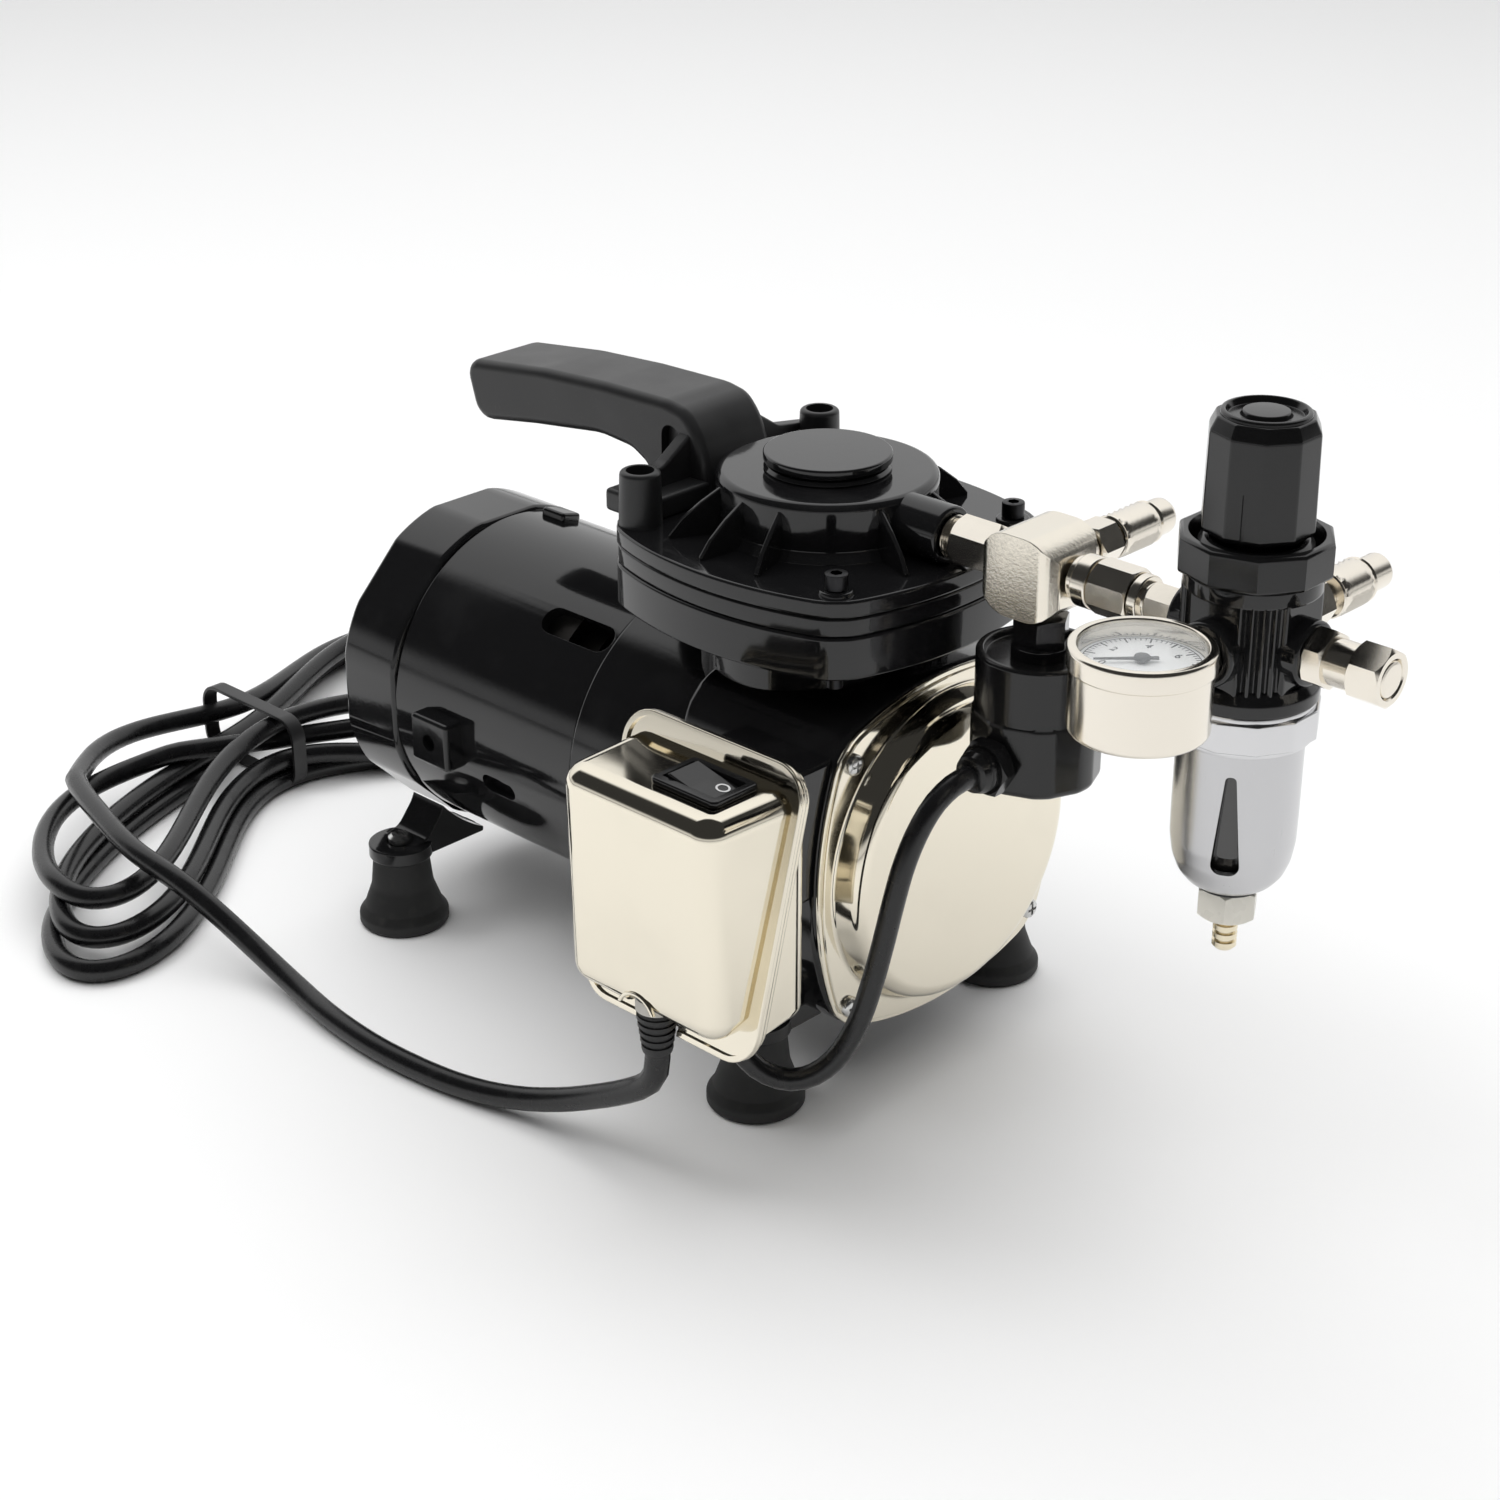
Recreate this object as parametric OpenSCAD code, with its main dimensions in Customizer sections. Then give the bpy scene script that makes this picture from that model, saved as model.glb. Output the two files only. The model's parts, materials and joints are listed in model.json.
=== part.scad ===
// Small oil-free airbrush compressor: a motor lying along X drives a short-stroke piston
// in an upright cylinder; the outlet feeds a manifold, a pressure switch and a
// filter-regulator with a gauge. Machine coordinates have X = 0 over the front feet,
// Y = 0 on the shaft and Z = 0 on the floor; place() moves them to the part's own frame.

/* [Motor] */
// Height of the shaft above the floor
shaft_z = 64.5; // [63:0.5:66]
// Outer radius of the motor housing
motor_r = 45; // [44:0.5:46]
// Radius of the rear end bell
bell_r = 47.5; // [46.5:0.5:48]
// Length of the rear end bell
bell_len = 22; // [18:1:26]
// Wall of the motor shells
shell = 3.5; // [3:0.5:4]

/* [Crankcase and head] */
// Half width of the square castings across their bulged sides
case_half = 46.5; // [46:0.5:47]
// Radius of each bulged side
side_arc = 94; // [90:1:100]
// Distance from the front feet back to the cylinder axis
head_x = -20.8; // [-22:0.1:-20]
// Underside of the plate stack on the cylinder
deck_z = 119; // [118:0.5:120]
// Radius of the round chamber on the head
drum_r = 28; // [27:0.5:29]
// Top of the round chamber
drum_z = 154; // [153:0.5:155]
// Half spacing of the head screws
head_bolt = 33; // [32:0.5:34]
// Half spacing of the front cover screws across the machine
cover_bolt_y = 35.5; // [35:0.5:36]
// Half spacing of the front cover screws up and down
cover_bolt_z = 33.5; // [33:0.5:34]

/* [Feet] */
// Distance between the front and rear feet
feet_x = 139; // [136:1:142]
// Distance between the near and far feet
feet_y = 95; // [93:1:97]
// Radius of a foot where it meets the floor
foot_r = 12.7; // [12:0.1:13]
// Height of a foot
foot_h = 21; // [20:0.5:22]

/* [Handle] */
// Width of the grip
grip_w = 25; // [22:1:28]

/* [Switch box] */
// Left to right width of the box cover
box_w = 47; // [46:1:48]
// Front of the box, from the shaft
box_front = -98.2; // [-99:0.5:-97]
// Middle of the box, ahead of the front feet
box_x = 8.5; // [8:0.5:9]
// Top of the box cover
box_top = 108; // [107:0.5:109]
// Angle that the rocker turns through
rocker_throw = 22; // [16:1:24]

/* [Air line] */
// Height of the outlet line
port_z = 146.6; // [146:0.1:147]
// Distance from the front feet to the pressure switch
switch_x = 48; // [47.5:0.5:48.5]
// Radius of the pressure switch
switch_r = 15.3; // [15:0.1:16]
// Distance from the front feet to the regulator
reg_x = 106; // [105.5:0.5:106.5]
// Radius of the regulator body
reg_r = 15.6; // [15.2:0.1:16]
// Distance from the regulator to the gauge
gauge_out = 40; // [39.5:0.5:41]
// Radius of the gauge
gauge_r = 16.2; // [16:0.1:16.5]
// End of the hose outlet
outlet_end = 143; // [142:0.5:144]

/* [Cord] */
// Diameter of the mains cord
cord_d = 6.3; // [6:0.1:6.6]
// Diameter of the pressure switch lead
lead_d = 5.6; // [5.4:0.1:6]

/* [Hidden] */
$fn = 64;
cl = 0.05;                       // radial gap of a screw in its hole
run_cl = 0.05;                   // radial gap of a running fit
x_tail = -163;                   // rear face of the motor
y_far = 52;                      // end of the rear coupler
mid_x = (x_tail + outlet_end) / 2;
mid_y = (box_front + feet_y / 2 + foot_r) / 2;
x_bell = x_tail + bell_len;      // joint of bell and housing
x_seam = -70;                    // joint of housing and crankcase
x_front = 19;                    // front face of the crankcase
x_square = -32;                  // where the round case turns square
block_h = 11;                    // cylinder block plate
valve_h = 5;                     // valve plate
head_h = 4.5;                    // flange of the head
z_block = deck_z + block_h;
z_valve = z_block + valve_h;
z_head = z_valve + head_h;
bore_r = 20;                     // cylinder bore
throw = 3;                       // eccentric offset
rod_w = 10;                      // connecting rod width
shaft_r = 4;
core_r = 22;                     // rotor core
big_end_r = 14.5;                // hole of the rod's big end, with room for the open pivot
cover_t = 1.6;                   // sheet of the nickel covers
pan_rise = 9;                    // how far the front cover bulges
tilt = 14.5;                     // lean of the box's parting flange
flange_t = 2;
pivot_down = 1.5;                // rocker pivot below the top of the box
block_x0 = 36.5;                 // manifold block
block_x1 = 58.5;
block_y = 10;
block_z0 = 134.5;
block_z1 = 157;
reg_top = 162.3;                 // regulator body
reg_low = 137;
rim_z = 132.7;
ring_low = 123;                  // bowl ring
bowl_low = 98.6;
dome_z = 84.6;
knob_z = 171.6;
knob_top = 199;
gauge_z0 = 136.3;
gauge_z1 = 156.5;
switch_z0 = 92.3;
switch_z1 = 125.7;
gland_z = 100.5;
outlet_bore = 4.3;               // hose thread
cord_exit = [18, -71, 37];        // tip of the strain relief, in the part's own frame
lead_end = [28, -58, 46];
hank_h = 28;                     // height of the tied hank

// Route of the mains cord from the box to the tied hank, in the part's own frame
cord_path = [cord_exit, [17.5, -71, 31], [14, -71, 25.5], [6, -71.5, 20], [-4, -72, 14.5],
    [-15, -73.5, 9.5], [-27, -76, 5.8], [-40, -79, 3.8], [-55, -81.5, 3.2], [-75, -83, 3.2],
    [-95, -82, 3.2], [-115, -79.5, 3.2], [-132, -77.5, 3.2], [-141, -77, 3.2]];
// Route of the switch lead, in the part's own frame
lead_path = [[58, -6, 100.5], [58, -12, 100], [57.5, -18, 97], [56.5, -22.5, 91], [55.5, -26, 83],
    [54.5, -28.5, 73], [53.5, -30.5, 63], [52.5, -33, 53], [51, -36, 43], [48.5, -40.5, 34.5],
    [44.5, -45, 29.5], [39.5, -49, 28], [34.5, -53, 30.5], [30.5, -56, 36], [28.5, -57.5, 41],
    lead_end];

// ---- helpers ----
module place() { translate([-mid_x, -mid_y, 0]) children(); }
module along_x(x0, len) { translate([x0, 0, 0]) rotate([90, 0, 90]) linear_extrude(len) children(); }
module along_y(y0, len) {
    translate([0, y0 + len, 0]) rotate([90, 0, 0]) linear_extrude(len) children();
}
module rod_x(x0, x1, r, y = 0, z = shaft_z) {
    translate([x0, y, z]) rotate([0, 90, 0]) cylinder(r = r, h = x1 - x0);
}
module rod_y(y0, y1, r, x = 0, z = port_z) {
    translate([x, y1, z]) rotate([90, 0, 0]) cylinder(r = r, h = y1 - y0);
}
module rod_z(z0, z1, r, x = 0, y = 0) { translate([x, y, z0]) cylinder(r = r, h = z1 - z0); }
module hex_x(x0, x1, flats, y = 0, z = port_z) {
    translate([x0, y, z]) rotate([0, 90, 0]) cylinder(r = flats / sqrt(3), h = x1 - x0, $fn = 6);
}
module hex_y(y0, y1, flats, x = 0, z = port_z) {
    translate([x, y1, z]) rotate([90, 0, 0]) cylinder(r = flats / sqrt(3), h = y1 - y0, $fn = 6);
}
module hex_z(z0, z1, flats, x = 0, y = 0) {
    translate([x, y, z0]) cylinder(r = flats / sqrt(3), h = z1 - z0, $fn = 6);
}
// Square casting outline with bulged sides and clipped corners
module bulged_square(half) {
    arc = side_arc - case_half + half;
    off = arc - half;
    intersection() {
        translate([off, 0]) circle(r = arc, $fn = 180);
        translate([-off, 0]) circle(r = arc, $fn = 180);
        translate([0, off]) circle(r = arc, $fn = 180);
        translate([0, -off]) circle(r = arc, $fn = 180);
        circle(r = half * 1.135, $fn = 120);
    }
}
module at_head_corners() {
    for (x = [-1, 1], y = [-1, 1])
        translate([head_x + x * head_bolt, y * head_bolt, 0]) children();
}
module stack_plate(z0, z1, bore) {
    difference() {
        translate([head_x, 0, z0]) linear_extrude(z1 - z0) bulged_square(case_half);
        rod_z(z0 - 1, z1 + 1, bore, head_x);
        at_head_corners() rod_z(z0 - 1, z1 + 1, 2 + cl);
    }
}
// Tube swept along a list of points
function unit(v) = v / norm(v);
function path_dir(p, i) = unit(p[min(i + 1, len(p) - 1)] - p[max(i - 1, 0)]);
function side_of(d) = unit(cross(d, abs(d[2]) > 0.9 ? [0, 1, 0] : [0, 0, 1]));
module swept_tube(p, d, sides) {
    n = len(p);
    rings = [for (i = [0:n - 1]) let (t = path_dir(p, i), s = side_of(t), u = cross(s, t))
        for (k = [0:sides - 1]) let (a = 360 * k / sides)
            p[i] + d / 2 * (cos(a) * s + sin(a) * u)];
    walls = [for (i = [0:n - 2], k = [0:sides - 1])
        [i * sides + k, i * sides + (k + 1) % sides, (i + 1) * sides + (k + 1) % sides,
            (i + 1) * sides + k]];
    ends = [[for (k = [0:sides - 1]) sides - 1 - k], [for (k = [0:sides - 1]) (n - 1) * sides + k]];
    polyhedron(points = rings, faces = concat(walls, ends), convexity = 10);
}

// ---- motor ----
module vent_slot(side) {
    // long oval vent through the shoulder of the housing
    translate([0, 0, shaft_z]) rotate([side * 38, 0, 0]) translate([-84, 0, motor_r - 8]) {
        translate([-9, 0, 0]) cylinder(r = 4, h = 12);
        translate([9, 0, 0]) cylinder(r = 4, h = 12);
        translate([-9, -4, 0]) cube([18, 8, 12]);
    }
}
module motor_housing() {
    color([0.03, 0.03, 0.035]) place() {
        difference() {
            union() {
                rod_x(x_bell, x_seam, motor_r);
                // lugs on the lower sides
                for (s = [-1, 1]) translate([-128, s * 45 - 6, shaft_z - 9]) cube([15, 12, 14]);
            }
            rod_x(x_bell - 1, x_seam + 1, motor_r - shell);
            vent_slot(1);
            vent_slot(-1);
        }
    }
}
module rear_end_bell() {
    color([0.03, 0.03, 0.035]) place() difference() {
        intersection() {
            rod_x(x_tail, x_bell, bell_r);
            // corners taken off the round to leave eight broad flats
            translate([x_tail, 0, shaft_z]) rotate([0, 90, 0]) rotate(22.5)
                cylinder(r = bell_r * 1.055, h = bell_len, $fn = 8);
        }
        rod_x(x_tail + shell, x_bell + 1, motor_r - shell);
        rod_x(x_tail - 1, x_tail + 4, shaft_r + 1);
        for (a = [0:30:330]) rotate_about_shaft(a) translate([x_tail - 1, 0, shaft_z + 30])
            rotate([0, 90, 0]) cylinder(r = 3, h = 6);
    }
    color([0.03, 0.03, 0.035]) place() difference() {
        rod_x(x_tail + shell - 0.01, x_tail + 14, 15);
        rod_x(x_tail + shell - 1, x_tail + 15, 11 + cl);
    }
}
module rotate_about_shaft(a) {
    translate([0, 0, shaft_z]) rotate([a, 0, 0]) translate([0, 0, -shaft_z]) children();
}
module bearings() {
    color([0.7, 0.7, 0.72]) place() for (x = [x_tail + 6, x_seam + 2.5]) difference() {
        rod_x(x, x + 7, 11);
        rod_x(x - 1, x + 8, shaft_r + run_cl);
    }
}
module stator() {
    color([0.35, 0.35, 0.37]) place() {
        difference() {
            rod_x(-132, -88, motor_r - shell - 0.05);
            rod_x(-133, -87, core_r + 1);
        }
        // end turns of the windings
        for (x = [-139, -88.05]) difference() {
            rod_x(x, x + 7.05, motor_r - 8);
            rod_x(x - 1, x + 9, core_r + 3);
        }
    }
}
module motor_shaft() {
    color([0.75, 0.75, 0.77]) place() {
        rod_x(x_tail + 5, head_x + 12, shaft_r);
        // eccentric that drives the rod
        difference() {
            rod_x(head_x - 5.5, head_x + 5.5, 8, 0, shaft_z + throw);
            rod_x(head_x - 6, head_x + 6, shaft_r - 0.5);
        }
        difference() {
            rod_x(head_x + 7, head_x + 12, 13);
            translate([head_x + 6, -20, shaft_z]) cube([7, 40, 20]);
            rod_x(head_x + 6, head_x + 13, shaft_r - 0.5);
        }
    }
}
module rotor_core() {
    color([0.55, 0.55, 0.57]) place() difference() {
        rod_x(-134, -86, core_r);
        rod_x(-135, -85, shaft_r);
    }
}
module connecting_rod() {
    color([0.72, 0.72, 0.74]) place() {
        difference() {
            rod_x(head_x - rod_w / 2, head_x + rod_w / 2, big_end_r + 4);
            rod_x(head_x - rod_w, head_x + rod_w, big_end_r);
        }
        translate([head_x - 4, -4.5, shaft_z + big_end_r + 3])
            cube([8, 9, 116 - shaft_z - big_end_r - 2]);
        rod_z(116, 122, bore_r - run_cl, head_x);
    }
}

// ---- crankcase and cylinder ----
module crankcase() {
    color([0.03, 0.03, 0.035]) place() {
        difference() {
            union() {
                translate([0, 0, shaft_z]) along_x(x_square, x_front - x_square)
                    rotate(90) bulged_square(case_half);
                rod_x(x_seam, x_square + 1, motor_r + 1);
                rod_z(shaft_z, deck_z, 32, head_x);
                // pad that carries the switch box
                translate([-12, -65, 64]) cube([30, 26, 36]);
            }
            rod_x(x_seam + 12, x_front + 1, motor_r - shell);
            rod_x(x_seam - 1, x_seam + 2.45, 16);
            rod_x(x_seam + 2.4, x_seam + 9.55, 11 + cl);
            rod_x(x_seam + 9, x_seam + 13, 8);
            rod_z(shaft_z, deck_z + 1, bore_r + 2, head_x);
            for (y = [-1, 1], z = [-1, 1]) rod_x(x_front - 10, x_front + 1, 1.5 + cl,
                y * cover_bolt_y, shaft_z + z * cover_bolt_z);
        }
    }
}
module cylinder_block() {
    color([0.04, 0.04, 0.045]) place() stack_plate(deck_z, z_block, bore_r);
}
module valve_plate() {
    color([0.04, 0.04, 0.045]) place() difference() {
        stack_plate(z_block, z_valve, 3);
        rod_z(z_block - 1, z_valve + 1, 3, head_x + 12);
    }
}
module head_rib(a) {
    // one thin web from the round chamber down to the flange
    translate([head_x, 0, 0]) rotate([0, 0, a]) translate([0, 0.7, 0]) rotate([90, 0, 0])
        linear_extrude(1.4) polygon([[drum_r - 1, z_head - 0.5], [drum_r + 13, z_head - 0.5],
            [drum_r + 13, z_head + 1], [drum_r, drum_z - 3], [drum_r - 1, drum_z - 3]]);
}
module cylinder_head() {
    color([0.03, 0.03, 0.035]) place() difference() {
        union() {
            stack_plate(z_valve, z_head, 1);
            difference() {
                rod_z(z_valve, drum_z, drum_r, head_x);
                rod_z(z_valve - 1, z_valve + 1, drum_r - 6, head_x);
            }
            for (a = [-120, -96, -72, -20, 20, 72, 96, 120]) head_rib(a);
            rod_x(head_x + drum_r - 2, 20, 7.3, 0, port_z);
        }
        rod_z(z_valve - 1, z_head + 9, drum_r - 5, head_x);
        rod_z(z_head, drum_z + 1, 10 + cl, head_x);
        rod_x(head_x + drum_r - 6, 21, 4.86 + cl, 0, port_z);
    }
}
module intake_cap() {
    color([0.03, 0.03, 0.035]) place() translate([head_x, 0, drum_z]) difference() {
        rotate_extrude($fn = 96) polygon([[0, 0], [15.6, 0], [16, 0.5], [15.6, 1.3], [14.6, 1.6],
            [14.6, 2], [16.2, 2.4], [16.2, 4.1], [15.7, 4.6], [0, 4.6]]);
        translate([0, 0, -1]) cylinder(r = 9, h = 3);
    }
}
module intake_filter() {
    color([0.8, 0.78, 0.7]) place() difference() {
        rod_z(z_head + 9.2, drum_z + 0.9, 8.9, head_x);
        rod_z(z_head, drum_z + 2, 3, head_x);
    }
}
module head_screws() {
    color([0.05, 0.05, 0.055]) place() for (y = [-1, 1])
        translate([head_x + head_bolt, y * head_bolt, 0]) difference() {
            union() {
                rod_z(deck_z - 4, z_head + 0.1, 2);
                rod_z(z_head, z_head + 5, 2.9);
            }
            hex_z(z_head + 2, z_head + 6, 2.5);
        }
}
module handle_screws() {
    color([0.05, 0.05, 0.055]) place() for (y = [-1, 1])
        translate([head_x - head_bolt, y * head_bolt, 0]) difference() {
            union() {
                rod_z(deck_z - 4, z_head + 7.1, 2);
                rod_z(z_head + 7, z_head + 11, 2.9);
            }
            hex_z(z_head + 9, z_head + 12, 2.5);
        }
}
module handle() {
    color([0.05, 0.05, 0.05]) place() difference() {
        union() {
            along_y(-grip_w / 2, grip_w) polygon([[-141, 157], [-113, 161.5], [-90, 163],
                [-66, 163.6], [-60, 162.5], [-55.5, 158], [-52, 150], [-50, z_head],
                [-71, z_head], [-73.5, 144.5], [-79, 147.5], [-91, 148.5], [-117, 145],
                [-133, 141.8], [-138, 143.5], [-142, 150], [-143, 154.5]]);
            // foot that spans the two rear screws
            translate([-67, -head_bolt, z_head]) cube([16, 2 * head_bolt, 6]);
            for (y = [-1, 1]) rod_z(z_head, z_head + 14, 5.6, head_x - head_bolt, y * head_bolt);
            // webs from the post down to the screws
            for (y = [-1, 1]) translate([-60, 0, 0]) rotate([90, 0, 90]) linear_extrude(4)
                polygon([[y * 12, z_head + 5], [y * head_bolt, z_head + 5],
                    [y * head_bolt, z_head + 9], [y * 12, 158]]);
        }
        rod_z(z_head - 1, drum_z + 20, drum_r + 0.4, head_x);
        for (y = [-1, 1]) {
            rod_z(z_head - 1, z_head + 8, 2.1, head_x - head_bolt, y * head_bolt);
            rod_z(z_head + 7, z_head + 15, 3.6, head_x - head_bolt, y * head_bolt);
        }
    }
}
module front_cover() {
    color([0.8, 0.74, 0.6]) place() translate([0, 0, shaft_z]) difference() {
        union() {
            along_x(x_front, cover_t) bulged_square(case_half);
            along_x(x_front, 4.5) bulged_square(case_half - 6);
            along_x(x_front, pan_rise) bulged_square(case_half - 9);
        }
        along_x(x_front - 1, 1 + pan_rise - cover_t) bulged_square(case_half - 11);
        for (y = [-1, 1], z = [-1, 1])
            rod_x(x_front - 1, x_front + 6, 1.6, y * cover_bolt_y, z * cover_bolt_z);
    }
}
module front_cover_screws() {
    color([0.8, 0.8, 0.8]) place() for (y = [-1, 1], z = [-1, 1])
        translate([0, y * cover_bolt_y, shaft_z + z * cover_bolt_z]) difference() {
            union() {
                rod_x(x_front - 8, x_front + cover_t + 0.1, 1.5, 0, 0);
                rod_x(x_front + cover_t, x_front + cover_t + 1.8, 2.7, 0, 0);
            }
            for (a = [0, 90]) rotate([a, 0, 0]) translate([x_front + cover_t + 1, -0.4, -2])
                cube([2, 0.8, 4]);
        }
}

// ---- feet ----
module foot(x, y) {
    color([0.06, 0.06, 0.06]) place() translate([x, y, 0]) difference() {
        rotate_extrude($fn = 72) polygon([[0, 0], [foot_r - 0.7, 0], [foot_r, 0.8],
            [foot_r, 2.6], [foot_r - 0.8, 3.8], [8, foot_h - 2], [8, foot_h], [0, foot_h]]);
        translate([0, 0, foot_h - 12]) cylinder(r = 2 + cl, h = 13);
    }
}
module foot_front_near() { foot(0, -feet_y / 2); }
module foot_front_far() { foot(0, feet_y / 2); }
module foot_rear_near() { foot(-feet_x, -feet_y / 2); }
module foot_rear_far() { foot(-feet_x, feet_y / 2); }
module foot_screws() {
    color([0.75, 0.75, 0.77]) place() for (x = [0, -feet_x], y = [-1, 1])
        translate([x, y * feet_y / 2, 0]) {
            rod_z(foot_h - 10, foot_h + 4.1, 2);
            rod_z(foot_h + 4, foot_h + 6.2, 3.4);
        }
}
// Cast arm and pad over each rear foot
module rear_foot_bracket() {
    color([0.03, 0.03, 0.035]) place() difference() {
        for (s = [-1, 1]) {
            along_x(-feet_x - 7, 14) polygon([[s * 22, foot_h], [s * feet_y / 2, foot_h],
                [s * feet_y / 2, foot_h + 4], [s * 41, foot_h + 7], [s * 34, foot_h + 18],
                [s * 30, foot_h + 22], [s * 22, foot_h + 8]]);
            rod_z(foot_h, foot_h + 4, 9, -feet_x, s * feet_y / 2);
        }
        rod_x(-feet_x - 10, -feet_x + 10, bell_r + 0.02);
        for (s = [-1, 1]) {
            rod_z(foot_h - 1, foot_h + 5, 2 + cl, -feet_x, s * feet_y / 2);
            rod_z(foot_h + 4, foot_h + 20, 4, -feet_x, s * feet_y / 2);
        }
    }
}
module front_foot_bracket() {
    color([0.03, 0.03, 0.035]) place() difference() {
        for (s = [-1, 1]) {
            translate([-8, s * 36 - 8, foot_h]) cube([16, 16, 6]);
            translate([-8, min(s * 44, s * 52), foot_h]) cube([16, 8, 4]);
            rod_z(foot_h, foot_h + 4, 9, 0, s * feet_y / 2);
        }
        translate([0, 0, shaft_z]) along_x(-20, 40) rotate(90) bulged_square(case_half + 0.02);
        for (s = [-1, 1]) rod_z(foot_h - 1, foot_h + 7, 2 + cl, 0, s * feet_y / 2);
    }
}

// ---- switch box ----
// The parting flange leans by tilt; 2D outlines are in (Y, Z)
function flange_y(z) = -71 - (box_top - z) * tan(tilt);
function flange_back(z) = flange_y(z) + flange_t;
module box_outline() {
    polygon([[flange_y(box_top) + 1, box_top], [box_front + 4, box_top], [box_front + 1, box_top - 1.5],
        [box_front, box_top - 5], [box_front + 1.5, 50], [box_front + 4, 46], [flange_y(46) + 1, 45]]);
}
module switch_box_cover() {
    color([0.8, 0.74, 0.6]) place() difference() {
        union() {
            difference() {
                along_x(box_x - box_w / 2, box_w) box_outline();
                along_x(box_x - box_w / 2 + cover_t, box_w - 2 * cover_t)
                    polygon([[flange_y(box_top - cover_t) + 3, box_top - cover_t],
                        [box_front + 4, box_top - cover_t], [box_front + cover_t, box_top - 6],
                        [box_front + 1.5 + cover_t, 51], [box_front + 5, 46 + cover_t],
                        [flange_y(46) + 3, 46 + cover_t]]);
            }
            difference() {
                along_x(box_x - 29, 58) polygon([[flange_y(112), 112], [flange_y(42), 42],
                    [flange_back(42), 42], [flange_back(112), 112]]);
                along_x(box_x - box_w / 2 + cover_t, box_w - 2 * cover_t)
                    polygon([[flange_y(106) - 3, 106], [flange_y(48) - 3, 48],
                        [flange_back(48) + 3, 48], [flange_back(106) + 3, 106]]);
            }
        }
        // opening for the rocker
        translate([17.5 - 9.55, -83 - 6.55, box_top - 5]) cube([19.1, 13.1, 10]);
        // cord notch
        rod_z(40, 52, cord_d / 2 + 2.1, cord_exit[0] + mid_x, cord_exit[1] + mid_y);
    }
}
module switch_box_base() {
    color([0.8, 0.74, 0.6]) place() difference() {
        along_x(box_x - 27, 54) polygon([[flange_back(110) + 0.02, 110], [-65, 107.5], [-65, 60],
            [-69, 55], [flange_back(48) + 0.02, 48]]);
        along_x(box_x - 27 + cover_t, 54 - 2 * cover_t) polygon([[flange_back(108) - 1, 108],
            [-65 - cover_t, 105.5], [-65 - cover_t, 61], [-70, 56.5], [flange_back(51) - 1, 51]]);
        rod_z(40, 60, lead_d / 2 + 2.1, lead_end[0] + mid_x, lead_end[1] + mid_y);
    }
}
module run_capacitor() {
    color([0.85, 0.85, 0.82]) place() rod_x(-10, 24, 6, -80, 73);
}
module rocker_frame() {
    color([0.05, 0.05, 0.05]) place() translate([17.5, -83, 0]) difference() {
        union() {
            translate([-10.5, -7.5, box_top]) cube([21, 15, 1.8]);
            translate([-9.5, -6.5, box_top - 14]) cube([19, 13, 15]);
            for (x = [-6, 0, 6]) translate([x - 0.4, -2.4, box_top - 20]) cube([0.8, 4.8, 7]);
        }
        translate([-8.5, -5.2, box_top - 9]) cube([17, 10.4, 12]);
        rod_y(-7, 7, 1 + run_cl, 0, box_top - pivot_down);
    }
}
module rocker() {
    color([0.07, 0.07, 0.07]) place() translate([17.5, -83, 0]) {
        translate([0, 0, box_top]) along_y(-4.9, 9.8) polygon([[-7, 2.9], [0, 1.3], [7, 0.2],
            [7, -1.2], [2.5, -4.6], [-2.5, -4.6], [-7, -0.2]]);
        rod_y(-6, 6, 1, 0, box_top - pivot_down);
    }
}
module cord_gland() {
    // tapered strain relief with a collar that grips the box
    color([0.05, 0.05, 0.05]) place() translate([cord_exit[0] + mid_x, cord_exit[1] + mid_y, 0])
        rotate_extrude() polygon([[0, cord_exit[2]], [cord_d / 2 + 0.5, cord_exit[2]],
            [cord_d / 2 + 2, 48], [cord_d / 2 + 2, 58], [0, 58]]);
}
module lead_gland() {
    color([0.05, 0.05, 0.05]) place() translate([lead_end[0] + mid_x, lead_end[1] + mid_y, 0])
        rotate_extrude() polygon([[0, lead_end[2]], [lead_d / 2 + 0.6, lead_end[2]],
            [lead_d / 2 + 1.9, 49], [lead_d / 2 + 1.9, 58], [0, 58]]);
}

// ---- outlet line ----
module outlet_nipple() {
    color([0.8, 0.78, 0.72]) place() difference() {
        union() {
            rod_x(10, 21, 4.86, 0, port_z);
            hex_x(20.02, 25, 11);
            rod_x(24.9, block_x0 - 0.02, 4.9, 0, port_z);
        }
        rod_x(9, block_x0 + 1, 2, 0, port_z);
    }
}
module manifold_block() {
    color([0.82, 0.79, 0.72]) place() difference() {
        intersection() {
            translate([block_x0, -block_y, block_z0])
                cube([block_x1 - block_x0, 2 * block_y, block_z1 - block_z0]);
            // broad chamfers all round
            translate([(block_x0 + block_x1) / 2, 0, 0]) rotate([0, 0, 45])
                translate([-12.6, -12.6, 0]) cube([25.2, 25.2, 200]);
            translate([(block_x0 + block_x1) / 2, 0, port_z]) rotate([0, 45, 0])
                translate([-12.8, -20, -12.8]) cube([25.6, 40, 25.6]);
            translate([0, 0, port_z]) rotate([45, 0, 0])
                translate([0, -12.4, -12.4]) cube([200, 24.8, 24.8]);
        }
        rod_x(block_x0 - 1, block_x1 + 1, 2, 0, port_z);
        rod_z(block_z0 - 1, port_z, 2, switch_x);
    }
}
module bleed_valve_body() {
    color([0.8, 0.78, 0.72]) place() difference() {
        union() {
            rod_y(block_y + 0.02, 16, 4.6, switch_x);
            hex_y(15.9, 24, 10.5, switch_x);
            rod_y(23.9, 46, 3, switch_x);
            rod_y(40.6, 47, 4.6, switch_x);
        }
        rod_y(block_y - 1, 48, 1.5, switch_x);
    }
}
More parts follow.
